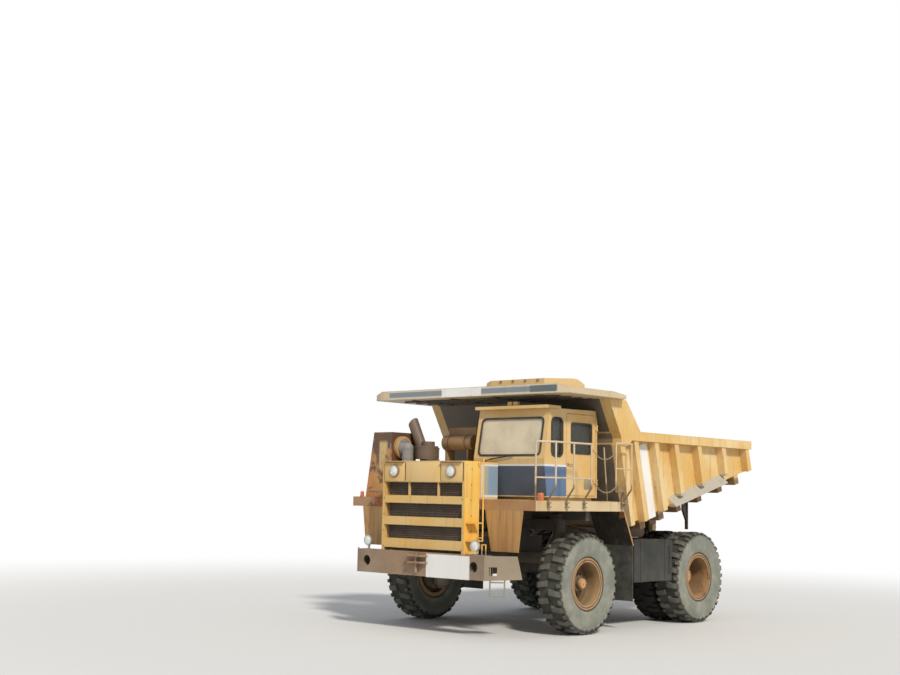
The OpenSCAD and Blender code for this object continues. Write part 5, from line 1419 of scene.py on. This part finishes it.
mesh = bmesh.new()
for side, low, high in tankTrim["tanks"]:
    strapInto(mesh, low, high, low[1] + tankTrim["strapIn"][0])
    strapInto(mesh, low, high, high[1] - tankTrim["strapIn"][1])
    middle = (low[0] + high[0]) / 2
    aside, back = tankTrim["fillerIn"]
    turned(mesh, tankTrim["filler"], spot(middle + side * aside, low[1] + back, high[2]), (0, 0, 1), 24)
    turned(mesh, tankTrim["plug"], spot(middle, low[1] + tankTrim["plugIn"], low[2]), (0, 0, -1), 12)
    face = high[0] if side > 0 else low[0]
    out = face + side * tankTrim["tubeOut"]
    y = high[1] - tankTrim["tubeIn"]
    top, foot = high[2] - tankTrim["tubeEnds"][0], low[2] + tankTrim["tubeEnds"][1]
    sight = ((face, top), (out, top), (out, foot), (face, foot))
    tubeInto(mesh, [spot(x, y, z) for x, z in sight], tankTrim["tubeRadius"])
piece("tankFittings", mesh, "tank", "chassis", smooth=35)

# bumper and radiator shell: bolts and the tow pin
boltRows = {
    "bumperX": (0.36, 0.66), "bumperZ": (1.12, 1.25, 1.38), "bumperY": (-2.3225, -2.331),
    "bumperRadius": 0.018, "count": 6, "frontX": 0.99, "frontY": (-2.2405, -2.249), "front": (1.55, 0.3),
    "sideX": (1.0405, 1.048), "sideY": -2.05, "side": (1.6, 0.28), "radius": 0.012,
    "pin": (-2.38, 1.1, 1.45), "pinRadius": 0.026,
}
mesh = bmesh.new()
for side in (1, -1):
    for z in boltRows["bumperZ"]:
        for x in boltRows["bumperX"]:
            ends = [spot(side * x, y, z) for y in boltRows["bumperY"]]
            rodInto(mesh, *ends, boltRows["bumperRadius"], 6)
    for step in range(boltRows["count"]):
        z = boltRows["front"][0] + boltRows["front"][1] * step
        ends = [spot(side * boltRows["frontX"], y, z) for y in boltRows["frontY"]]
        rodInto(mesh, *ends, boltRows["radius"], 6)
        z = boltRows["side"][0] + boltRows["side"][1] * step
        ends = [spot(side * x, boltRows["sideY"], z) for x in boltRows["sideX"]]
        rodInto(mesh, *ends, boltRows["radius"], 6)
y, low, high = boltRows["pin"]
rodInto(mesh, spot(0, y, low), spot(0, y, high), boltRows["pinRadius"], 14)
piece("shellBolts", mesh, "bumper", "chassis", smooth=35)

# cabinet, duct and exhaust: clamps, hinges and bands
ductTrim = {
    "band": (0.222, 0.226, 0.022), "bandAt": (-1.43, -1.33, 3.445), "capAt": (-1.38, -1.33, 3.445),
    "cap": [(0.0, 0.19), (0.012, 0.18), (0.02, 0.15), (0.02, pole)],
    "clamp": (0.111, 0.117, 0.03), "elbowAt": (-1.34, -1.4, 3.42), "pipeAt": (-1.21, -1.4),
    "pipeZ": (2.62, 2.95, 3.22), "hingeX": (-1.5, -1.47), "hingeY": (-1.612, -1.6003), "hingeZ": (2.7, 3.4),
    "hingeHigh": 0.12, "sill": ((-2.06, -1.606, 2.56), (-1.49, -1.6003, 2.58)),
    "muffler": (0.2405, 0.2465, 0.03), "mufflerAt": (-1.09, -1.0), "mufflerZ": (3.26, 3.44),
    "drum": (0.1505, 0.156, 0.035), "drumX": (-0.8, -0.36), "drumAt": (-0.56, 3.56),
}
mesh = bmesh.new()
ringInto(mesh, *ductTrim["band"], spot(*ductTrim["bandAt"]), (1, 0, 0))
turned(mesh, ductTrim["cap"], spot(*ductTrim["capAt"]), (1, 0, 0), 36)
ringInto(mesh, *ductTrim["clamp"], spot(*ductTrim["elbowAt"]), (1, 0, 0), 28)
for z in ductTrim["pipeZ"]:
    ringInto(mesh, *ductTrim["clamp"], spot(*ductTrim["pipeAt"], z), (0, 0, 1), 28)
for z in ductTrim["hingeZ"]:
    low, high = zip(ductTrim["hingeX"], ductTrim["hingeY"])
    boxInto(mesh, spot(*low, z), spot(*high, z + ductTrim["hingeHigh"]), 0.003)
boxInto(mesh, spot(*ductTrim["sill"][0]), spot(*ductTrim["sill"][1]), 0.002)
piece("ductClamps", mesh, "duct", "chassis", smooth=40)
mesh = bmesh.new()
for z in ductTrim["mufflerZ"]:
    ringInto(mesh, *ductTrim["muffler"], spot(*ductTrim["mufflerAt"], z), (0, 0, 1), 40)
for x in ductTrim["drumX"]:
    ringInto(mesh, *ductTrim["drum"], spot(x, *ductTrim["drumAt"]), (1, 0, 0), 32)
piece("drumBands", mesh, "exhaust", "chassis", smooth=40)
print("front trimmed")
